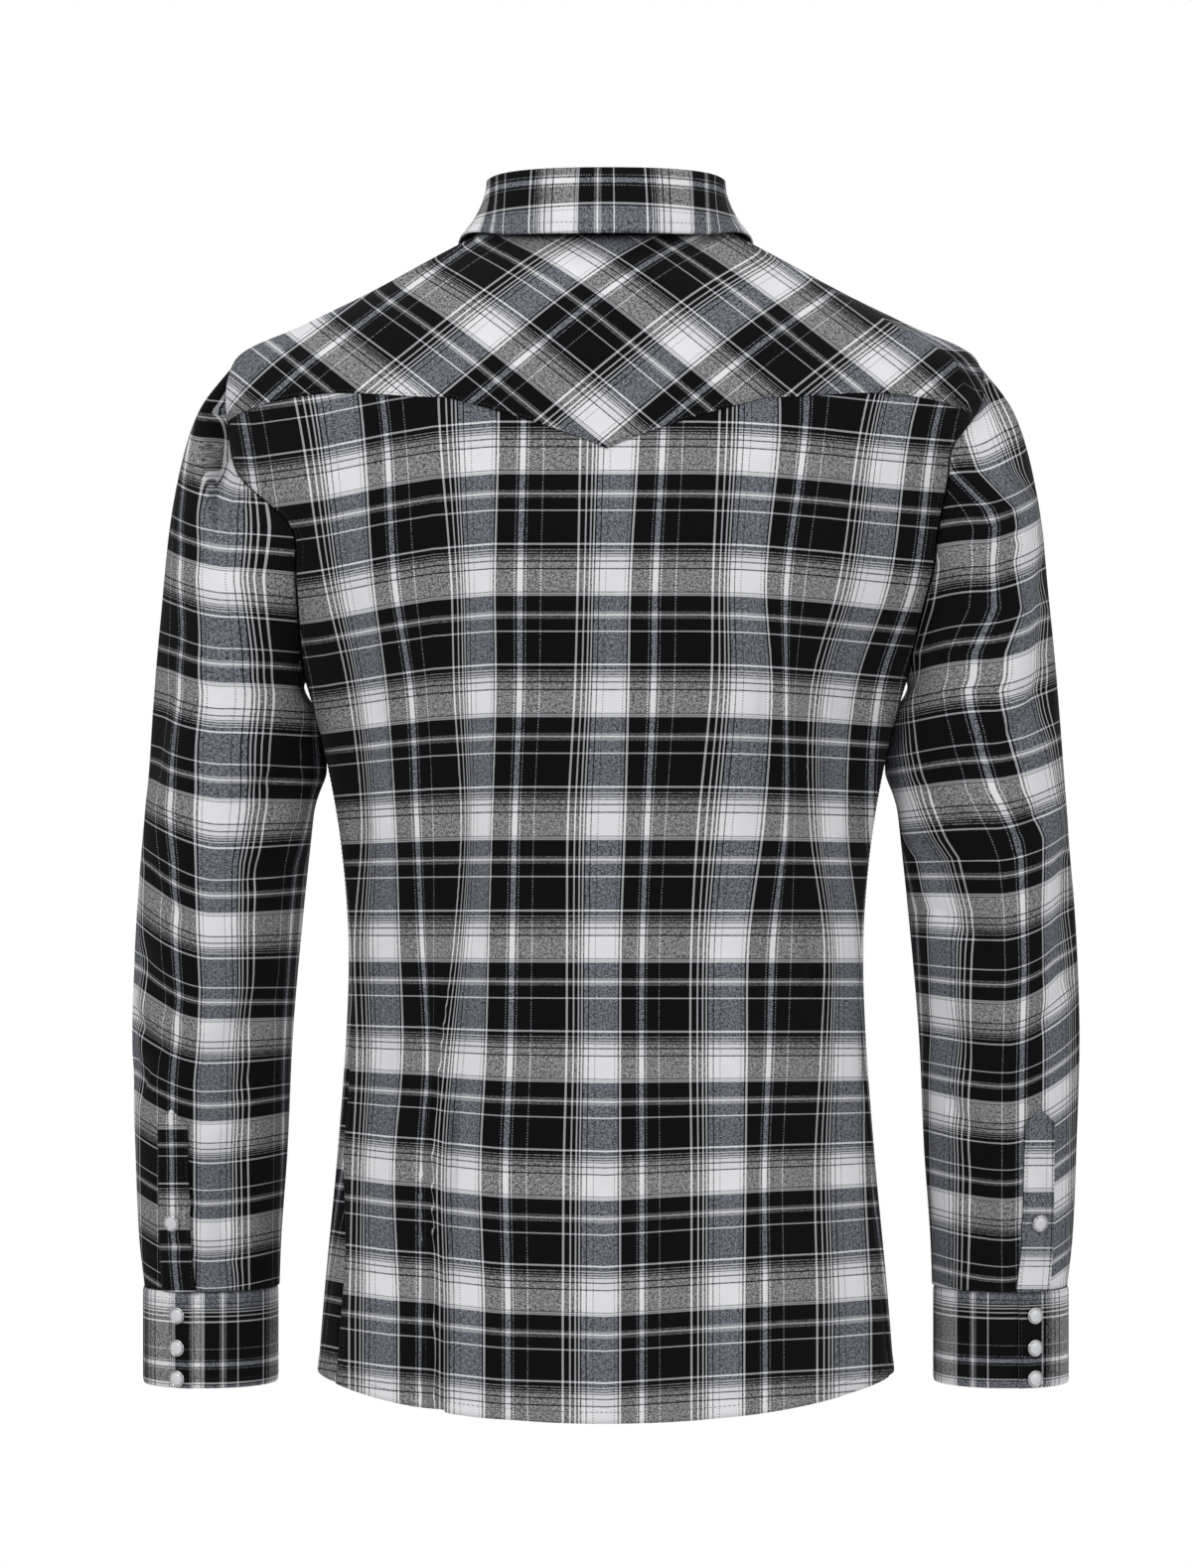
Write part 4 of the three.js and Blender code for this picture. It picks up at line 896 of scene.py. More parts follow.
for side, word in ((1, "left"), (-1, "right")):
    turns, levels, share = front_grid(NECK_TRIM, FRONT_COLUMNS, OVER_COLUMNS, side)
    height = CLOTH - 0.7 * np.exp(-((share * 180 / 2.4) ** 2)) + 0 * levels
    height = height + 0.45 * (1 - smooth(levels[0] - levels, 6, 8)) * (levels > 600)
    if side > 0:
        height = height + wrap_lift(body_place(turns, levels)[..., 0])
    outer = body_offset(side * turns, levels, height)
    inner = body_offset(side * turns, levels, height - THREAD_THICK)
    check = front_check(outer, FRONT_COLUMNS + OVER_COLUMNS // 2)
    # Where the left front shows past the side seam, its rows lie a little higher than the back's.
    check[..., 1] += 7 * smooth(-outer[..., 2], 480, 620) * (side > 0)
    front = cloth_piece(f"shirt_front_{word}", outer, inner, check, [flannel])
    stitches = stitch(f"shirt_front_{word}_stitches", [
        seam_row(outer, inner, 7), seam_row(outer[45:], inner[45:], 6, "start")])
    sew(front, f"front_{word}", stitches=[stitches])

# FRONT BAND
# A doubled strip down the left front's edge that carries the snaps, stitched along both sides.
BAND_BASE = 3.6
BAND_TOP = 6
turns, levels, _ = front_grid(BAND_TOP, 2, 16)
turns, levels = turns[:, 1:], levels[:, 1:]
way = np.linspace(-1, 1, turns.shape[1])
height = BAND_BASE + DOUBLED - 0.5 * smooth(abs(way), 0.93, 1) + 0 * levels
band_outer = body_offset(turns, levels, height)
band_inner = body_offset(turns, levels, np.full(levels.shape, BAND_BASE + 0.15))
band_fall = on_plane(band_outer, BACK_PLANE)[1]
band_check = np.stack([24 + way * BAND_WIDTH / 2 + 0 * band_fall, rows_down(band_fall)], -1)
front_band = cloth_piece("shirt_band", band_outer, band_inner, band_check, [flannel])
stitches = stitch("shirt_band_stitches", [
    seam_row(band_outer, band_inner, 6, "start"), seam_row(band_outer, band_inner, 6, "end")])
sew(front_band, "front_band", stitches=[stitches])

# SLEEVES
# Each sleeve is one piece of flannel sewn into a tube at the underarm and set into the armhole,
# a little fuller than the hole. It creases at the elbow and bunches above the cuff.
CUFF_TOP_Z = -662.5
SLEEVE = chart(
    "down x_in z_in x_out z_out y_mid half",
    (0, 187.5, -275, 232, -72, -5, 64),
    (46, 191, -283, 257.5, -107, -4, 67),
    (103, 191, -293, 272.5, -162, -4, 69),
    (183, 188, -308, 281.5, -242, -5, 68),
    (233, 185, -326, 286, -292, -6, 67),
    (287, 186.5, -352, 290, -345, -6, 65),
    (364, 194, -423, 296.5, -423, -8, 61),
    (440, 201, -499, 300, -499, -13, 55),
    (515, 205, -574, 299, -574, -21, 49),
    (572, 209.5, -630, 297.5, -630, -28, 44),
    (604.5, 211, CUFF_TOP_Z, 294.5, CUFF_TOP_Z, -32, 38.5),
)
HEAD_EASE = 95
SLEEVE_ARC = 52
# "turn" is degrees from the outer line towards the back. The wide folds come first, then creases.
SLEEVE_FOLD_COLUMNS = "turn down turn2 down2 width depth"
LEFT_SLEEVE_FOLDS = chart(
    SLEEVE_FOLD_COLUMNS,
    (180, 50, 180, 300, 24, 6),
    (150, 175, 118, 330, 14, -5),
    (60, 130, 20, 300, 14, -4),
    (15, 380, 70, 430, 14, -4),
    (150, 400, 90, 470, 14, -4.5),
    (4, 452, 42, 474, 14, -3.5),
    (112, 480, 104, 612, 14, -4.5),
    (215, 330, 250, 420, 14, -5),
    (300, 410, 240, 440, 14, -4.5),
    (285, 500, 270, 612, 14, -4),
    (158, 235, 92, 300, 6, -2.6),
    (160, 300, 104, 352, 6, -3),
    (24, 330, 78, 372, 6, -2.4),
    (8, 420, 66, 452, 5, -2.6),
    (140, 452, 84, 500, 6, -2.4),
    (70, 540, 118, 560, 5, -1.8),
    (60, 570, 128, 588, 4, -1.6),
    (236, 250, 300, 300, 7, -2.6),
    (320, 350, 262, 392, 6, -2.6),
    (330, 470, 268, 500, 6, -2.4),
)
RIGHT_SLEEVE_FOLDS = chart(
    SLEEVE_FOLD_COLUMNS,
    (180, 50, 180, 300, 24, 6),
    (62, 60, 100, 210, 14, -4.5),
    (24, 120, 50, 260, 14, -4.5),
    (70, 230, 128, 285, 14, -5),
    (160, 300, 92, 400, 14, -5.5),
    (20, 300, 52, 420, 14, -4.5),
    (150, 420, 96, 480, 14, -4),
    (118, 500, 104, 612, 14, -4.5),
    (215, 320, 255, 410, 14, -5),
    (300, 430, 238, 455, 14, -4.5),
    (285, 510, 268, 612, 14, -4),
    (30, 205, 84, 246, 6, -2.8),
    (152, 262, 96, 316, 6, -3),
    (36, 286, 96, 330, 5, -2.4),
    (156, 352, 92, 388, 6, -3),
    (26, 396, 74, 440, 5, -2.2),
    (146, 470, 96, 520, 6, -2.4),
    (64, 556, 126, 574, 5, -1.8),
    (240, 240, 304, 296, 7, -2.6),
    (322, 348, 264, 384, 6, -2.6),
    (332, 476, 270, 508, 6, -2.2),
)


def sleeve_ring(turn, down):
    cosine, sine = np.cos(np.radians(turn)), np.sin(np.radians(turn))
    share = (1 + cosine) / 2
    x = lerp(between(SLEEVE, "x_in", down), between(SLEEVE, "x_out", down), share)
    z = lerp(between(SLEEVE, "z_in", down), between(SLEEVE, "z_out", down), share)
    y = between(SLEEVE, "y_mid", down) + between(SLEEVE, "half", down) * sine
    return np.stack([x, y, z], -1)


def armhole_line(turn, seam):
    behind = armhole_turn(np.clip(turn, 0, 180), seam, 0)
    half = np.where(np.sin(np.radians(turn)) > 0, behind, armhole_turn(turn, None, 0))
    level = armhole_level(turn, 0)
    return body_offset(90 - half, level, np.full(np.shape(level), CLOTH))


def sleeve_place(folds, turn, down):
    turn, down = np.broadcast_arrays(np.asarray(turn, float), np.asarray(down, float))
    place = sleeve_ring(turn, down)
    share = 1 - smooth(down, 0, HEAD_EASE)
    seam = RIGHT_ARMHOLE if folds is RIGHT_SLEEVE_FOLDS else LEFT_ARMHOLE
    place = place + (armhole_line(turn, seam) - sleeve_ring(turn, 0 * down)) * share[..., None]
    to_arc = math.radians(1) * SLEEVE_ARC
    rows = {
        "across": folds["turn"] * to_arc, "down": folds["down"], "across2": folds["turn2"] * to_arc,
        "down2": folds["down2"], "width": folds["width"], "depth": folds["depth"],
    }
    fade = smooth(down, 20, 90) * (1 - smooth(down, 585, 603))
    shift = fold_shift(rows, (turn % 360) * to_arc, down) * fade
    aim = np.stack([np.cos(np.radians(turn)), np.sin(np.radians(turn)), 0 * turn], -1)
    return place + shift[..., None] * aim


def sleeve_offset(folds, turn, down, height):
    turn, down = np.broadcast_arrays(np.asarray(turn, float), np.asarray(down, float))
    along_turn = sleeve_place(folds, turn + 1, down) - sleeve_place(folds, turn - 1, down)
    along_down = sleeve_place(folds, turn, down + 2) - sleeve_place(folds, turn, np.maximum(down - 2, 0))
    out = np.cross(along_down, along_turn)
    out = out / np.linalg.norm(out, axis=-1, keepdims=True)
    return sleeve_place(folds, turn, down) + out * np.asarray(height, float)[..., None]


# Two of the check's lines at each photograph row of a sleeve, and which line each is.
PHOTO_MIDDLE_X, PHOTO_MIDDLE_Y, SLEEVE_PIXEL = 610, 789.5, 0.6157
LEFT_LINES = chart(
    "pixel_row far far_cloth near near_cloth",
    (531.5, 200.4, 36.4, 267, 0.5), (582, 181.6, 51.1, 262, 0.5), (648.6, 179.3, 51.1, 270.4, 0.5),
    (699, 174, 51.1, 277.3, 0.5), (749.7, 169.4, 51.1, 277.8, 0.5), (795.6, 171, 51.1, 274.3, 0.5),
    (841.5, 173.3, 51.1, 264.7, 0.5), (871.5, 176.3, 51.1, 257.1, 0.5), (929, 177.4, 51.1, 254.8, 0.5),
    (997.8, 180.2, 51.1, 254.4, 0.5), (1043.7, 178.6, 51.1, 252, 0.5), (1089.7, 175, 51.1, 249.8, 0.5),
)
RIGHT_LINES = chart(
    "pixel_row far far_cloth near near_cloth",
    (439, 973, 36.4, 944, 51.1), (474, 984, 36.4, 957, 51.1), (512, 1019, 36.4, 994, 51.1),
    (531, 1022, 36.4, 1001, 51.1), (548, 1001, 51.1, 941, 85), (566, 999.6, 51.1, 945.4, 85),
    (611.9, 1001.9, 51.1, 936.9, 85), (634.8, 1000, 51.1, 925.5, 85), (657.8, 989.8, 51.1, 920.9, 85),
    (692.3, 984, 51.1, 920.9, 85), (726.7, 985.9, 51.1, 923, 85), (761, 992, 51.1, 925.5, 85),
    (795.6, 1003.5, 51.1, 931, 85), (830, 1020.8, 51.1, 943.8, 85), (864.5, 1026.5, 51.1, 965.6, 85),
    (917.4, 1028.8, 51.1, 977, 85), (974.8, 1030, 51.1, 978.3, 85), (1032, 1028.8, 51.1, 977.6, 85),
    (1089.7, 1027.7, 51.1, 975.5, 85),
)
# Falls of the bright row on the sleeve's middle line. The check runs the other way up here.
LEFT_BRIGHT = (124, 195.6, 267, 338.8, 410.6, 476.6, 540.7, 601.4)
RIGHT_BRIGHT = (178, 252.2, 326.4, 398.6, 465.7, 528.9, 588.8)
BRIGHT_ROW = 43.6
# How much higher a row is at the sleeve's outer and inner edge than on its middle line.
LEFT_TILT = chart(
    "pixel_row outer inner",
    (584, 12, -6.4), (665, 11, -3), (785, 13, -2), (870, 25, 4), (1005, 23, 0), (1110, 20, 6), (1205, 18, 7))
RIGHT_TILT = chart(
    "pixel_row outer inner",
    (645, 15, -10), (766, 15, -8.5), (883, 18, 0), (992, 28, 5), (1095, 25, 8.5), (1190, 21, 8.5))


def sleeve_check(outer, turns, lines, bright, tilt):
    """Cloth round and down a sleeve on the left, from the lines charted on its back."""
    ring = np.concatenate([outer, outer[:, :1]], axis=1)
    fall = on_plane(ring, SLEEVE_PLANE)[1]
    pixel_row = PHOTO_MIDDLE_Y + (fall + CAMERA_HEIGHT) / SLEEVE_PIXEL
    # The level section through each place: its middle, its reach sideways and its half depth.
    under = -ring[..., 2]
    x_out = np.interp(under, -SLEEVE["z_out"], SLEEVE["x_out"])
    x_in = np.interp(under, -SLEEVE["z_in"], SLEEVE["x_in"])
    middle_under = -(SLEEVE["z_in"] + SLEEVE["z_out"]) / 2
    y_middle = np.interp(under, middle_under, SLEEVE["y_mid"])
    half = np.interp(under, middle_under, SLEEVE["half"])
    middle, reach = (x_out + x_in) / 2, (x_out - x_in) / 2
    angle = np.degrees(np.arctan2((ring[..., 1] - y_middle) / half, (ring[..., 0] - middle) / reach))
    angle = np.radians(angle + 360 * np.round((turns - angle) / 360))

    def arc(to):
        steps = (np.arange(24) + 0.5) / 24 * to[..., None]
        speed = np.hypot(reach[..., None] * np.sin(steps), half[..., None] * np.cos(steps))
        return speed.mean(-1) * to

    def crossing(name):
        line = abs(np.interp(pixel_row, lines["pixel_row"], lines[name]) - PHOTO_MIDDLE_X) * SLEEVE_PIXEL
        at = np.full(line.shape, math.pi / 2)
        for _ in range(4):
            nearer = (CAMERA_AWAY - y_middle - half * np.sin(at)) / (CAMERA_AWAY - SLEEVE_PLANE)
            at = np.arccos(np.clip((line * nearer - middle) / reach, -0.97, 0.97))
        return arc(at)

    far_cloth = np.interp(pixel_row, lines["pixel_row"], lines["far_cloth"])
    near_cloth = np.interp(pixel_row, lines["pixel_row"], lines["near_cloth"])
    far, near = crossing("far"), crossing("near")
    scale = (near_cloth - far_cloth) / np.maximum(near - far, 8)
    scale = np.sign(scale) * np.clip(abs(scale), 0.75, 1.35)
    across = (near_cloth + far_cloth) / 2 + (arc(angle) - (near + far) / 2) * scale
    lift = np.interp(pixel_row, tilt["pixel_row"], tilt["outer"]) * np.maximum(np.cos(angle), 0) ** 1.6
    lift += np.interp(pixel_row, tilt["pixel_row"], tilt["inner"]) * np.minimum(np.cos(angle), 0) ** 2
    down = rows_down(fall + lift, bright, bright[1] - bright[0])
    return np.stack([across, BRIGHT_ROW - down], -1)


SLEEVE_COLUMNS = 124
for side, word, folds, lines, bright, tilt in (
    (1, "left", LEFT_SLEEVE_FOLDS, LEFT_LINES, LEFT_BRIGHT, LEFT_TILT),
    (-1, "right", RIGHT_SLEEVE_FOLDS, RIGHT_LINES, RIGHT_BRIGHT, RIGHT_TILT),
):
    # The columns start and end at the underarm, where the tube is sewn.
    turns = np.linspace(-165, 195, SLEEVE_COLUMNS + 1)
    levels = np.concatenate([[0, 1.2, 3, 6], np.linspace(10, 603.8, 160)])[:, None]
    inset = CLOTH * (1 - smooth(levels, 0, HEAD_EASE)) + 0.6 * np.exp(-((levels / 2) ** 2))
    height = CLOTH - inset + 0 * turns[:-1]
    outer = sleeve_offset(folds, turns[:-1], levels, height)
    inner = sleeve_offset(folds, turns[:-1], levels, height - THREAD_THICK)
    check = sleeve_check(outer, turns, lines, bright, tilt)
    mirror = np.array([side, 1, 1])
    sleeve = cloth_piece(f"shirt_sleeve_{word}", outer * mirror, inner * mirror, check, [flannel], True)
    sew(sleeve, f"sleeve_{word}")

# CUFFS
# A doubled band round the wrist, cut so that the check lies on its side, with its upper end lapped
# over its lower end and held by three snaps.
CUFF_BOTTOM_Z = -723.5
CUFF_MIDDLE_X, CUFF_MIDDLE_Y = 253, -32
CUFF_HALF_WIDTH, CUFF_HALF_DEPTH = 41, 37
CUFF_EDGE_TURN, CUFF_OVERLAP_TURN, CUFF_SNAP_TURN = 79, 34, 66
# The cuffs' check: height of the first white line, turn of the bright row, which way the rows count,
# and how far the lapping end has slipped against the rest.
CUFF_TIGHT = 1.26
CUFF_CHECK = {"left": (-681.7, 104, 1, -29.8), "right": (-679.3, 119, -1, 33.5)}


def cuff_place(turn, height, rise):
    turn, height, rise = np.broadcast_arrays(turn, height, rise)
    x = CUFF_MIDDLE_X + (CUFF_HALF_WIDTH + rise) * np.cos(np.radians(turn))
    y = CUFF_MIDDLE_Y + (CUFF_HALF_DEPTH + rise) * np.sin(np.radians(turn))
    return np.stack([x, y, height + 0 * x], -1)


def cuff_lift(turn):
    return (DOUBLED + SEAM_GAP) * smooth(turn, 330, 360 + CUFF_EDGE_TURN - CUFF_OVERLAP_TURN - 4)


for side, word in ((1, "left"), (-1, "right")):
    turns = np.linspace(CUFF_EDGE_TURN - CUFF_OVERLAP_TURN, 360 + CUFF_EDGE_TURN, 190)
    way = np.linspace(0, 1, 26)[:, None]
    heights = lerp(CUFF_TOP_Z - SEAM_GAP, CUFF_BOTTOM_Z, way)
    # Two layers and their turned edges: thickest just inside the row of stitches at each edge.
    edge = np.minimum(way, 1 - way) * 61
    full = DOUBLED - 0.55 * np.exp(-((edge / 1.2) ** 2)) - 0.25 * np.exp(-(((edge - 6) / 1.1) ** 2))
    outer = cuff_place(turns, heights, cuff_lift(turns) + full)
    inner = cuff_place(turns, heights, cuff_lift(turns) + 0.1)
    first, bright_turn, count, slip = CUFF_CHECK[word]
    arc = count * np.radians(turns - bright_turn) * (CUFF_HALF_WIDTH + DOUBLED)
    arc += slip * smooth(turns, 180, 340)
    check = np.stack([
        WARP_MM + 0.5 + (heights - first) * CUFF_TIGHT + 0 * arc, BRIGHT_ROW + arc + 0 * heights], -1)
    mirror = np.array([side, 1, 1])
    cuff = cloth_piece(f"shirt_cuff_{word}", outer * mirror, inner * mirror, check, [flannel])
    rows = [seam_row(outer, inner, 6), seam_row(outer, inner, 6, "top"), seam_row(outer, inner, 1.4, "end"),
            seam_row(outer, inner, 16, "end")]
    stitches = stitch(f"shirt_cuff_{word}_stitches", [(line * mirror, out * mirror) for line, out in rows])
    sew(cuff, f"cuff_{word}", stitches=[stitches])

# SLEEVE OPENINGS
# A strip with a pointed top finishes the slit above each cuff. It is stitched down all round and
# closed by one snap.
OPENING_WIDTH, OPENING_HEIGHT, OPENING_POINT = 22, 118, 9
OPENING_SNAP_RISE, OPENING_CLEARANCE = 45, 1.1
STRIP_ROWS = {
    "left": chart("fall cloth", (554.9, 31.8), (564.7, 43.6), (571.6, 53.8), (588.2, 73.5)),
    "right": chart("fall cloth", (584.5, 22.6), (605.4, 43.6), (645.4, 96.1)),
}
STRIP_CLOTH = {"left": 51, "right": 24}


def opening_place(folds, aside, rise, height):
    aside, rise, height = np.broadcast_arrays(aside, rise, height)
    down = SLEEVE["down"][-1] - 1.2 - rise
    radius = between(SLEEVE, "half", down) + CLOTH
    turn = CUFF_SNAP_TURN + np.degrees(aside / radius)
    return sleeve_offset(folds, turn, down, CLOTH + OPENING_CLEARANCE + height)


for side, word, folds in ((1, "left", LEFT_SLEEVE_FOLDS), (-1, "right", RIGHT_SLEEVE_FOLDS)):
    way = np.linspace(-1, 1, 23)
    rows = np.linspace(1, 0, 70)[:, None]
    rise = (OPENING_HEIGHT - OPENING_POINT * abs(way)) * rows
    rounded = 0.5 * smooth(abs(way), 0.86, 1) + 0.5 * smooth(rows, 0.985, 1)
    outer = opening_place(folds, way * OPENING_WIDTH / 2, rise, CLOTH - rounded)
    inner = opening_place(folds, way * OPENING_WIDTH / 2, rise, 0.1 + 0 * rise)
    fall = on_plane(outer, SLEEVE_PLANE)[1]
    table = STRIP_ROWS[word]
    down = np.interp(fall, table["fall"], table["cloth"])
    down += np.minimum(fall - table["fall"][0], 0) + np.maximum(fall - table["fall"][-1], 0) * 1.1
    check = np.stack([STRIP_CLOTH[word] + way * OPENING_WIDTH / 2 + 0 * fall, down], -1)
    mirror = np.array([side, 1, 1])
    strip = cloth_piece(f"shirt_sleeve_opening_{word}", outer * mirror, inner * mirror, check, [flannel])
    rows = [seam_row(outer, inner, 1.6, edge) for edge in ("foot", "start", "end")]
    stitches = stitch(f"shirt_sleeve_opening_{word}_stitches", [(a * mirror, b * mirror) for a, b in rows])
    sew(strip, f"sleeve_opening_{word}",
        stitches=[stitches])

# COLLAR
# A stand round the neck, closed at the front, and a leaf that rolls over it and falls to two long
# points. Both are doubled, with the check lying on its side.
FOLD_LINE = {"half_width": 69.5, "back": 57, "front": 64, "z_side": 37.5, "z_back": 38, "z_front": -30}
STAND_OVERLAP_TURN, LEAF_START_TURN = 9, 172
STAND_FOOT_INSET, STAND_FOOT_DROP = DOUBLED + 0.8, 1.2
LEAF_EDGE = chart(
    "share x y z bow",
    (-0.3, -59, 56, 0, 0), (0, 0, 75, -1.5, 1), (0.3, 59, 56, 0, 0), (0.52, 90.5, 6, 5, -3.5),
    (0.68, 90, -44, -17, -1), (0.84, 70, -80, -58, 3), (1, 45, -96, -100, 5),
)
LEAF_ROLL = ((0.2, 0.4), (0.5, 1.6), (1.4, 2.6), (3, 2.5), (4.6, 1.6))
LEAF_MIDDLE_CLOTH, LEAF_ROLL_CLOTH = 49.1, 65


def ring_place(turn):
    sine, cosine = np.sin(np.radians(turn)), np.cos(np.radians(turn))
    depth = np.where(cosine > 0, FOLD_LINE["back"], FOLD_LINE["front"])
    # Squarer than an ellipse at the back, where the photo's collar has a flat top and full corners.
    power = np.where(cosine > 0, 2.6, 2)
    reach = abs(sine / FOLD_LINE["half_width"]) ** power + abs(cosine / depth) ** power
    radius = reach ** (-1 / power)
    z_middle = np.where(cosine > 0, FOLD_LINE["z_back"], FOLD_LINE["z_front"])
    sideways = abs(radius * sine) / FOLD_LINE["half_width"]
    return np.stack([radius * sine, radius * cosine, lerp(z_middle, FOLD_LINE["z_side"], sideways**2.5)], -1)


def aim(turn):
    return np.stack([np.sin(np.radians(turn)), np.cos(np.radians(turn)), 0 * turn], -1)


def stand_shift(turn):
    return -(DOUBLED + SEAM_GAP + 0.2) * smooth(-turn, 145, 168)


def stand_place(turn, share, rise):
    turn, share, rise = np.broadcast_arrays(turn, share, rise)
    foot = body_place(turn, 0 * turn) - aim(turn) * STAND_FOOT_INSET
    foot[..., 2] -= STAND_FOOT_DROP
    place = lerp(foot, ring_place(turn), share[..., None])
    return place + aim(turn) * (rise + stand_shift(turn))[..., None]


turns = np.linspace(-180 - STAND_OVERLAP_TURN, 180 + STAND_OVERLAP_TURN, 181)
rows = np.linspace(0, 1, 10)[:, None]
stand_outer, stand_inner = stand_place(turns, rows, DOUBLED), stand_place(turns, rows, 0.1)
round_neck = np.radians(turns) * 66
stand_check = np.stack(
    [LEAF_ROLL_CLOTH + 38 * rows + 0 * turns, LEAF_MIDDLE_CLOTH - round_neck + 0 * rows], -1)
collar_stand = cloth_piece("shirt_collar_stand", stand_outer, stand_inner, stand_check, [flannel])
stitches = stitch("shirt_collar_stand_stitches", [
    seam_row(stand_outer, stand_inner, 1.6, edge) for edge in ("foot", "start", "end")])
sew(collar_stand, "collar_stand", stitches=[stitches])

LEAF_FALLS = np.linspace(0, 1, 30)[1:]
LEAF_COLUMNS = 181


def leaf_place(share, rise):
    """The leaf's rows, from inside the roll over it and down to the outer edge."""
    turn = share * LEAF_START_TURN
    out = aim(turn)
    fold = ring_place(turn) + out * stand_shift(turn)[..., None]
    edge = np.stack([np.sign(share) * between(LEAF_EDGE, "x", abs(share), "share"),
                     between(LEAF_EDGE, "y", abs(share), "share"),
                     between(LEAF_EDGE, "z", abs(share), "share")], -1)
    bow = between(LEAF_EDGE, "bow", abs(share), "share")
    rows = []
    for out_by, up_by in LEAF_ROLL:
        rows.append(fold + out * out_by + np.array([0, 0, up_by]))
    start = rows[-1]
    for fall in LEAF_FALLS:
        rows.append(lerp(start, edge, fall) + out * (4 * fall * (1 - fall) * bow)[..., None])
    rows = np.array(rows)
    lean = np.full(len(rows), 1.0)
    lean[0] = 0
    rise = rise + np.zeros(len(rows))
    away = out[None] * (rise * np.where(lean > 0, 0.92, 1))[:, None, None]
    return rows + away + np.array([0, 0, 1]) * (rise * lean * 0.35)[:, None, None]


shares = np.linspace(-1, 1, LEAF_COLUMNS)
full = DOUBLED - 0.5 * (np.arange(len(LEAF_ROLL) + len(LEAF_FALLS)) > len(LEAF_ROLL) + len(LEAF_FALLS) - 2)
leaf_outer, leaf_inner = leaf_place(shares, full), leaf_place(shares, 0.1 * np.ones(len(full)))
fall_arc = np.linalg.norm(np.diff(leaf_outer, axis=0), axis=-1)
fall_arc = np.concatenate([np.zeros((1, LEAF_COLUMNS)), np.cumsum(fall_arc, axis=0)])
along_arc = np.linalg.norm(np.diff(leaf_outer, axis=1), axis=-1).mean(0)
along_arc = np.concatenate([[0], np.cumsum(along_arc)])
along_arc -= along_arc[LEAF_COLUMNS // 2]
leaf_check = np.stack(
    [LEAF_ROLL_CLOTH - 0.93 * fall_arc, LEAF_MIDDLE_CLOTH - along_arc + 0 * fall_arc], -1)
collar_leaf = cloth_piece("shirt_collar_leaf", leaf_outer, leaf_inner, leaf_check, [flannel])
stitches = stitch("shirt_collar_leaf_stitches", [
    seam_row(leaf_outer, leaf_inner, 6.6, "top"), seam_row(leaf_outer[12:], leaf_inner[12:], 6.6, "start"),
    seam_row(leaf_outer[12:], leaf_inner[12:], 6.6, "end")])
sew(collar_leaf, "collar_leaf", stitches=[stitches])

# SNAPS
# Each is a stamped metal ring round a domed pearl face, riveted through the cloth.
SNAP_RADIUS = 5.4


def snap_material(name, colour, metallic, roughness, coat):
    material = bpy.data.materials.new(name)
    material.use_nodes = True
    nodes, links = material.node_tree.nodes, material.node_tree.links
    finish, place = nodes["Principled BSDF"], nodes.new("ShaderNodeTexCoord")
    cloud, ramp = nodes.new("ShaderNodeTexNoise"), nodes.new("ShaderNodeMapRange")
    tint = nodes.new("ShaderNodeMix")
    tint.data_type = "RGBA"
    cloud.inputs["Scale"].default_value = 420
    links.new(place.outputs["Object"], cloud.inputs["Vector"])
    links.new(cloud.outputs["Fac"], tint.inputs[0])
    tint.inputs[6].default_value = (*[c * 0.8 for c in colour], 1)
    tint.inputs[7].default_value = (*colour, 1)
    ramp.inputs["To Min"].default_value, ramp.inputs["To Max"].default_value = roughness
    links.new(cloud.outputs["Fac"], ramp.inputs["Value"])
    links.new(tint.outputs[2], finish.inputs["Base Color"])
    links.new(ramp.outputs[0], finish.inputs["Roughness"])
    finish.inputs["Metallic"].default_value = metallic
    finish.inputs["Coat Weight"].default_value = coat
    return material


pearl = snap_material("snap pearl", (0.72, 0.73, 0.75), 0, (0.12, 0.3), 0.6)
ring_metal = snap_material("snap ring", (0.62, 0.62, 0.63), 1, (0.18, 0.4), 0)
# Radius and rise of the ring, then of the pearl dome inside it.
RING_PROFILE = (
    (0.3, 0), (4.9, 0), (5.25, 0.15), (5.4, 0.5), (5.35, 0.95), (5.1, 1.3), (4.75, 1.45), (4.4, 1.4),
    (4.2, 1.15), (4.1, 0.8), (0.3, 0.8),
)
PEARL_PROFILE = (
    (0.02, 0.85), (4.05, 0.85), (4.1, 1.15), (3.95, 1.4), (3.5, 1.68), (2.8, 1.95), (1.9, 2.14), (1, 2.24),
    (0.02, 2.27),
)
SNAP_SIDES = 40


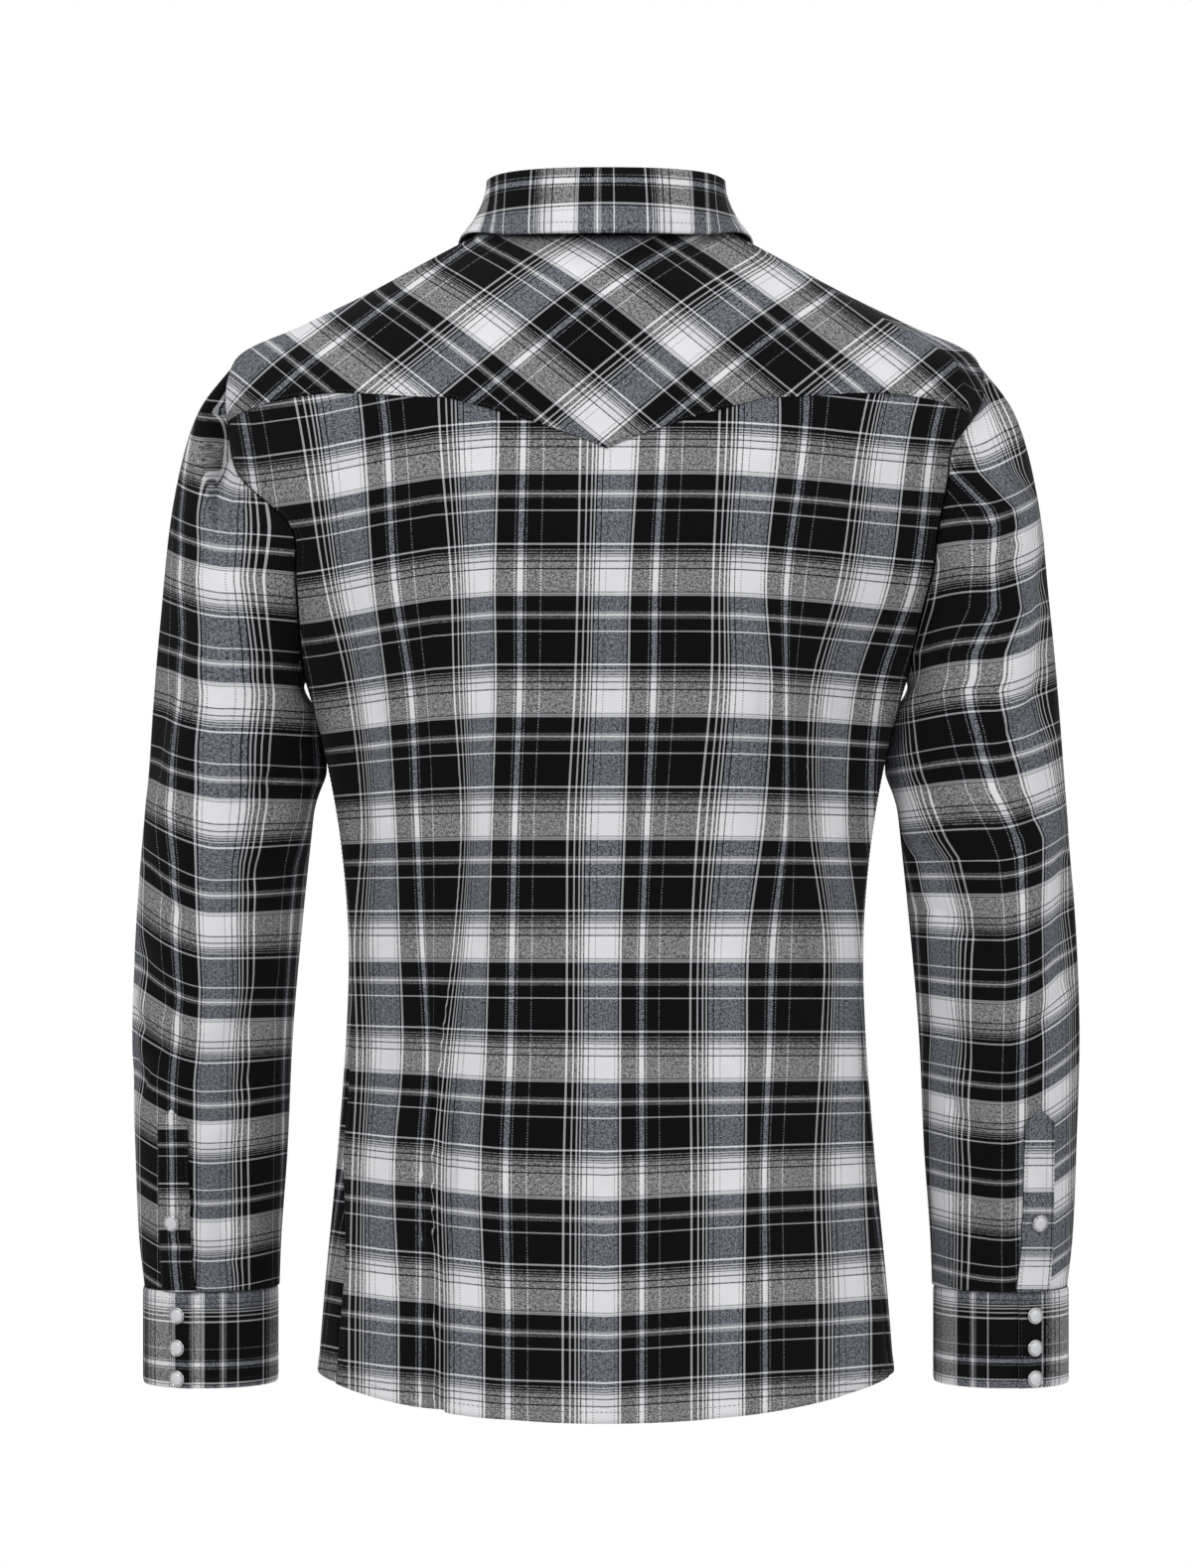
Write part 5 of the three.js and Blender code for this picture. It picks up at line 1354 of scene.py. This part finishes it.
def snap(node, seat, out, size=1.0):
    """One snap, seated on the cloth at a place and facing out."""
    out = np.array(out, float) / np.linalg.norm(out)
    first = np.cross(out, (0, 0, 1.0))
    first /= np.linalg.norm(first)
    second = np.cross(out, first)
    points, faces, marks = [], [], []
    for mark, profile in enumerate((RING_PROFILE, PEARL_PROFILE)):
        start, count = len(points), len(profile)
        for k in range(SNAP_SIDES):
            turn = 2 * math.pi * k / SNAP_SIDES
            for radius, rise in profile:
                reach = first * math.cos(turn) * radius + second * math.sin(turn) * radius
                points.append((seat + reach * size + out * (rise + SEAM_GAP)) / 1000)
        for k in range(SNAP_SIDES):
            for i in range(count if mark == 0 else count - 1):
                a, b = start + k * count + i, start + k * count + (i + 1) % count
                c, d = (start + (k + 1) % SNAP_SIDES * count + (i + 1) % count,
                        start + (k + 1) % SNAP_SIDES * count + i)
                faces.append((a, b, c, d))
                marks.append(mark)
        if mark == 1:
            faces.append([start + k * count for k in range(SNAP_SIDES)])
            faces.append([start + k * count + count - 1 for k in range(SNAP_SIDES)][::-1])
            marks += [mark, mark]
    mesh = bpy.data.meshes.new(node)
    mesh.from_pydata([tuple(p) for p in points], [], faces)
    mesh.materials.append(ring_metal)
    mesh.materials.append(pearl)
    mesh.polygons.foreach_set("material_index", marks)
    bm = bmesh.new()
    bm.from_mesh(mesh)
    bmesh.ops.recalc_face_normals(bm, faces=bm.faces)
    bm.to_mesh(mesh)
    bm.free()
    mesh.shade_smooth()
    piece = bpy.data.objects.new("shirt_" + node, mesh)
    bpy.context.scene.collection.objects.link(piece)
    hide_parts(node)
    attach(piece, "root")


FRONT_SNAP_DOWNS = np.linspace(58, 610, 7)
for i, down in enumerate(FRONT_SNAP_DOWNS):
    seat = body_offset(180.0, down, np.array(BAND_BASE + DOUBLED))
    snap(f"snap_front_{i + 1}", seat, body_out(np.array(180.0), np.array(down)))
snap("snap_collar", stand_place(180.0, 0.5, DOUBLED), (0, -1, -0.1))
for side, word, folds in ((1, "left", LEFT_SLEEVE_FOLDS), (-1, "right", RIGHT_SLEEVE_FOLDS)):
    mirror = np.array([side, 1, 1])
    facing = np.array([math.cos(math.radians(CUFF_SNAP_TURN)), math.sin(math.radians(CUFF_SNAP_TURN)), 0])
    for i, drop in enumerate((15, 35.5, 55)):
        rise = cuff_lift(360 + CUFF_SNAP_TURN) + DOUBLED
        seat = cuff_place(CUFF_SNAP_TURN, CUFF_TOP_Z - drop, rise)
        snap(f"snap_cuff_{word}_{i + 1}", seat * mirror, facing * mirror)
    middle = OPENING_SNAP_RISE
    up = opening_place(folds, 0.0, middle + 3, CLOTH) - opening_place(folds, 0.0, middle - 3, CLOTH)
    over = opening_place(folds, 3.0, middle, CLOTH) - opening_place(folds, -3.0, middle, CLOTH)
    out = np.cross(over, up)
    out = out / np.linalg.norm(out) * (1 if np.dot(out, facing) > 0 else -1)
    snap(f"snap_sleeve_{word}", (opening_place(folds, 0.0, middle, CLOTH) + out * 0.25) * mirror, out * mirror)

# STUDIO
# A pale round floor, soft lights behind and above the shirt, and a camera level with its middle,
# looking at its back.
FLOOR_Z = -0.95
bpy.ops.mesh.primitive_circle_add(vertices=96, radius=0.55, fill_type="NGON", location=(0, 0, FLOOR_Z))
floor = bpy.context.object
floor.name = "studio_floor"
floor_finish = bpy.data.materials.new("pale floor")
floor_finish.use_nodes = True
floor_finish.node_tree.nodes["Principled BSDF"].inputs["Base Color"].default_value = (0.85, 0.85, 0.85, 1)
floor.data.materials.append(floor_finish)

world = bpy.data.worlds.new("white studio")
bpy.context.scene.world = world
world.use_nodes = True
sky = world.node_tree.nodes
seen, lighting, both, path = (
    sky["Background"], sky.new("ShaderNodeBackground"), sky.new("ShaderNodeMixShader"),
    sky.new("ShaderNodeLightPath"))
seen.inputs["Color"].default_value = (1, 1, 1, 1)
lighting.inputs["Color"].default_value = (1, 1, 1, 1)
lighting.inputs["Strength"].default_value = 0.5
world.node_tree.links.new(path.outputs["Is Camera Ray"], both.inputs[0])
world.node_tree.links.new(lighting.outputs[0], both.inputs[1])
world.node_tree.links.new(seen.outputs[0], both.inputs[2])
world.node_tree.links.new(both.outputs[0], sky["World Output"].inputs["Surface"])


def soft_light(name, place, target, size, power):
    lamp = bpy.data.lights.new(name, "AREA")
    lamp.shape, lamp.size, lamp.energy = "DISK", size, power
    light = bpy.data.objects.new(name, lamp)
    bpy.context.scene.collection.objects.link(light)
    light.location = place
    light.rotation_euler = (Vector(target) - Vector(place)).to_track_quat("-Z", "Y").to_euler()


MIDDLE = (0, 0, -0.35)
soft_light("light_behind_left", (1.5, 2.0, 0.7), MIDDLE, 1.2, 26)
soft_light("light_behind_right", (-1.7, 1.7, 0.1), MIDDLE, 1.4, 13)
soft_light("light_front", (-0.9, -2.3, 0.8), MIDDLE, 1.6, 26)
soft_light("light_above", (0, 0.3, 2.1), MIDDLE, 1.4, 12)

camera = bpy.data.cameras.new("camera")
camera.sensor_width, camera.lens, camera.clip_end = 36, 94.09, 20
viewer = bpy.data.objects.new("camera", camera)
bpy.context.scene.collection.objects.link(viewer)
viewer.location = (0.0063, CAMERA_AWAY / 1000, CAMERA_HEIGHT / 1000)
viewer.rotation_euler = (math.radians(90), 0, math.radians(180))
bpy.context.scene.camera = viewer
bpy.context.scene.view_settings.view_transform = "Standard"
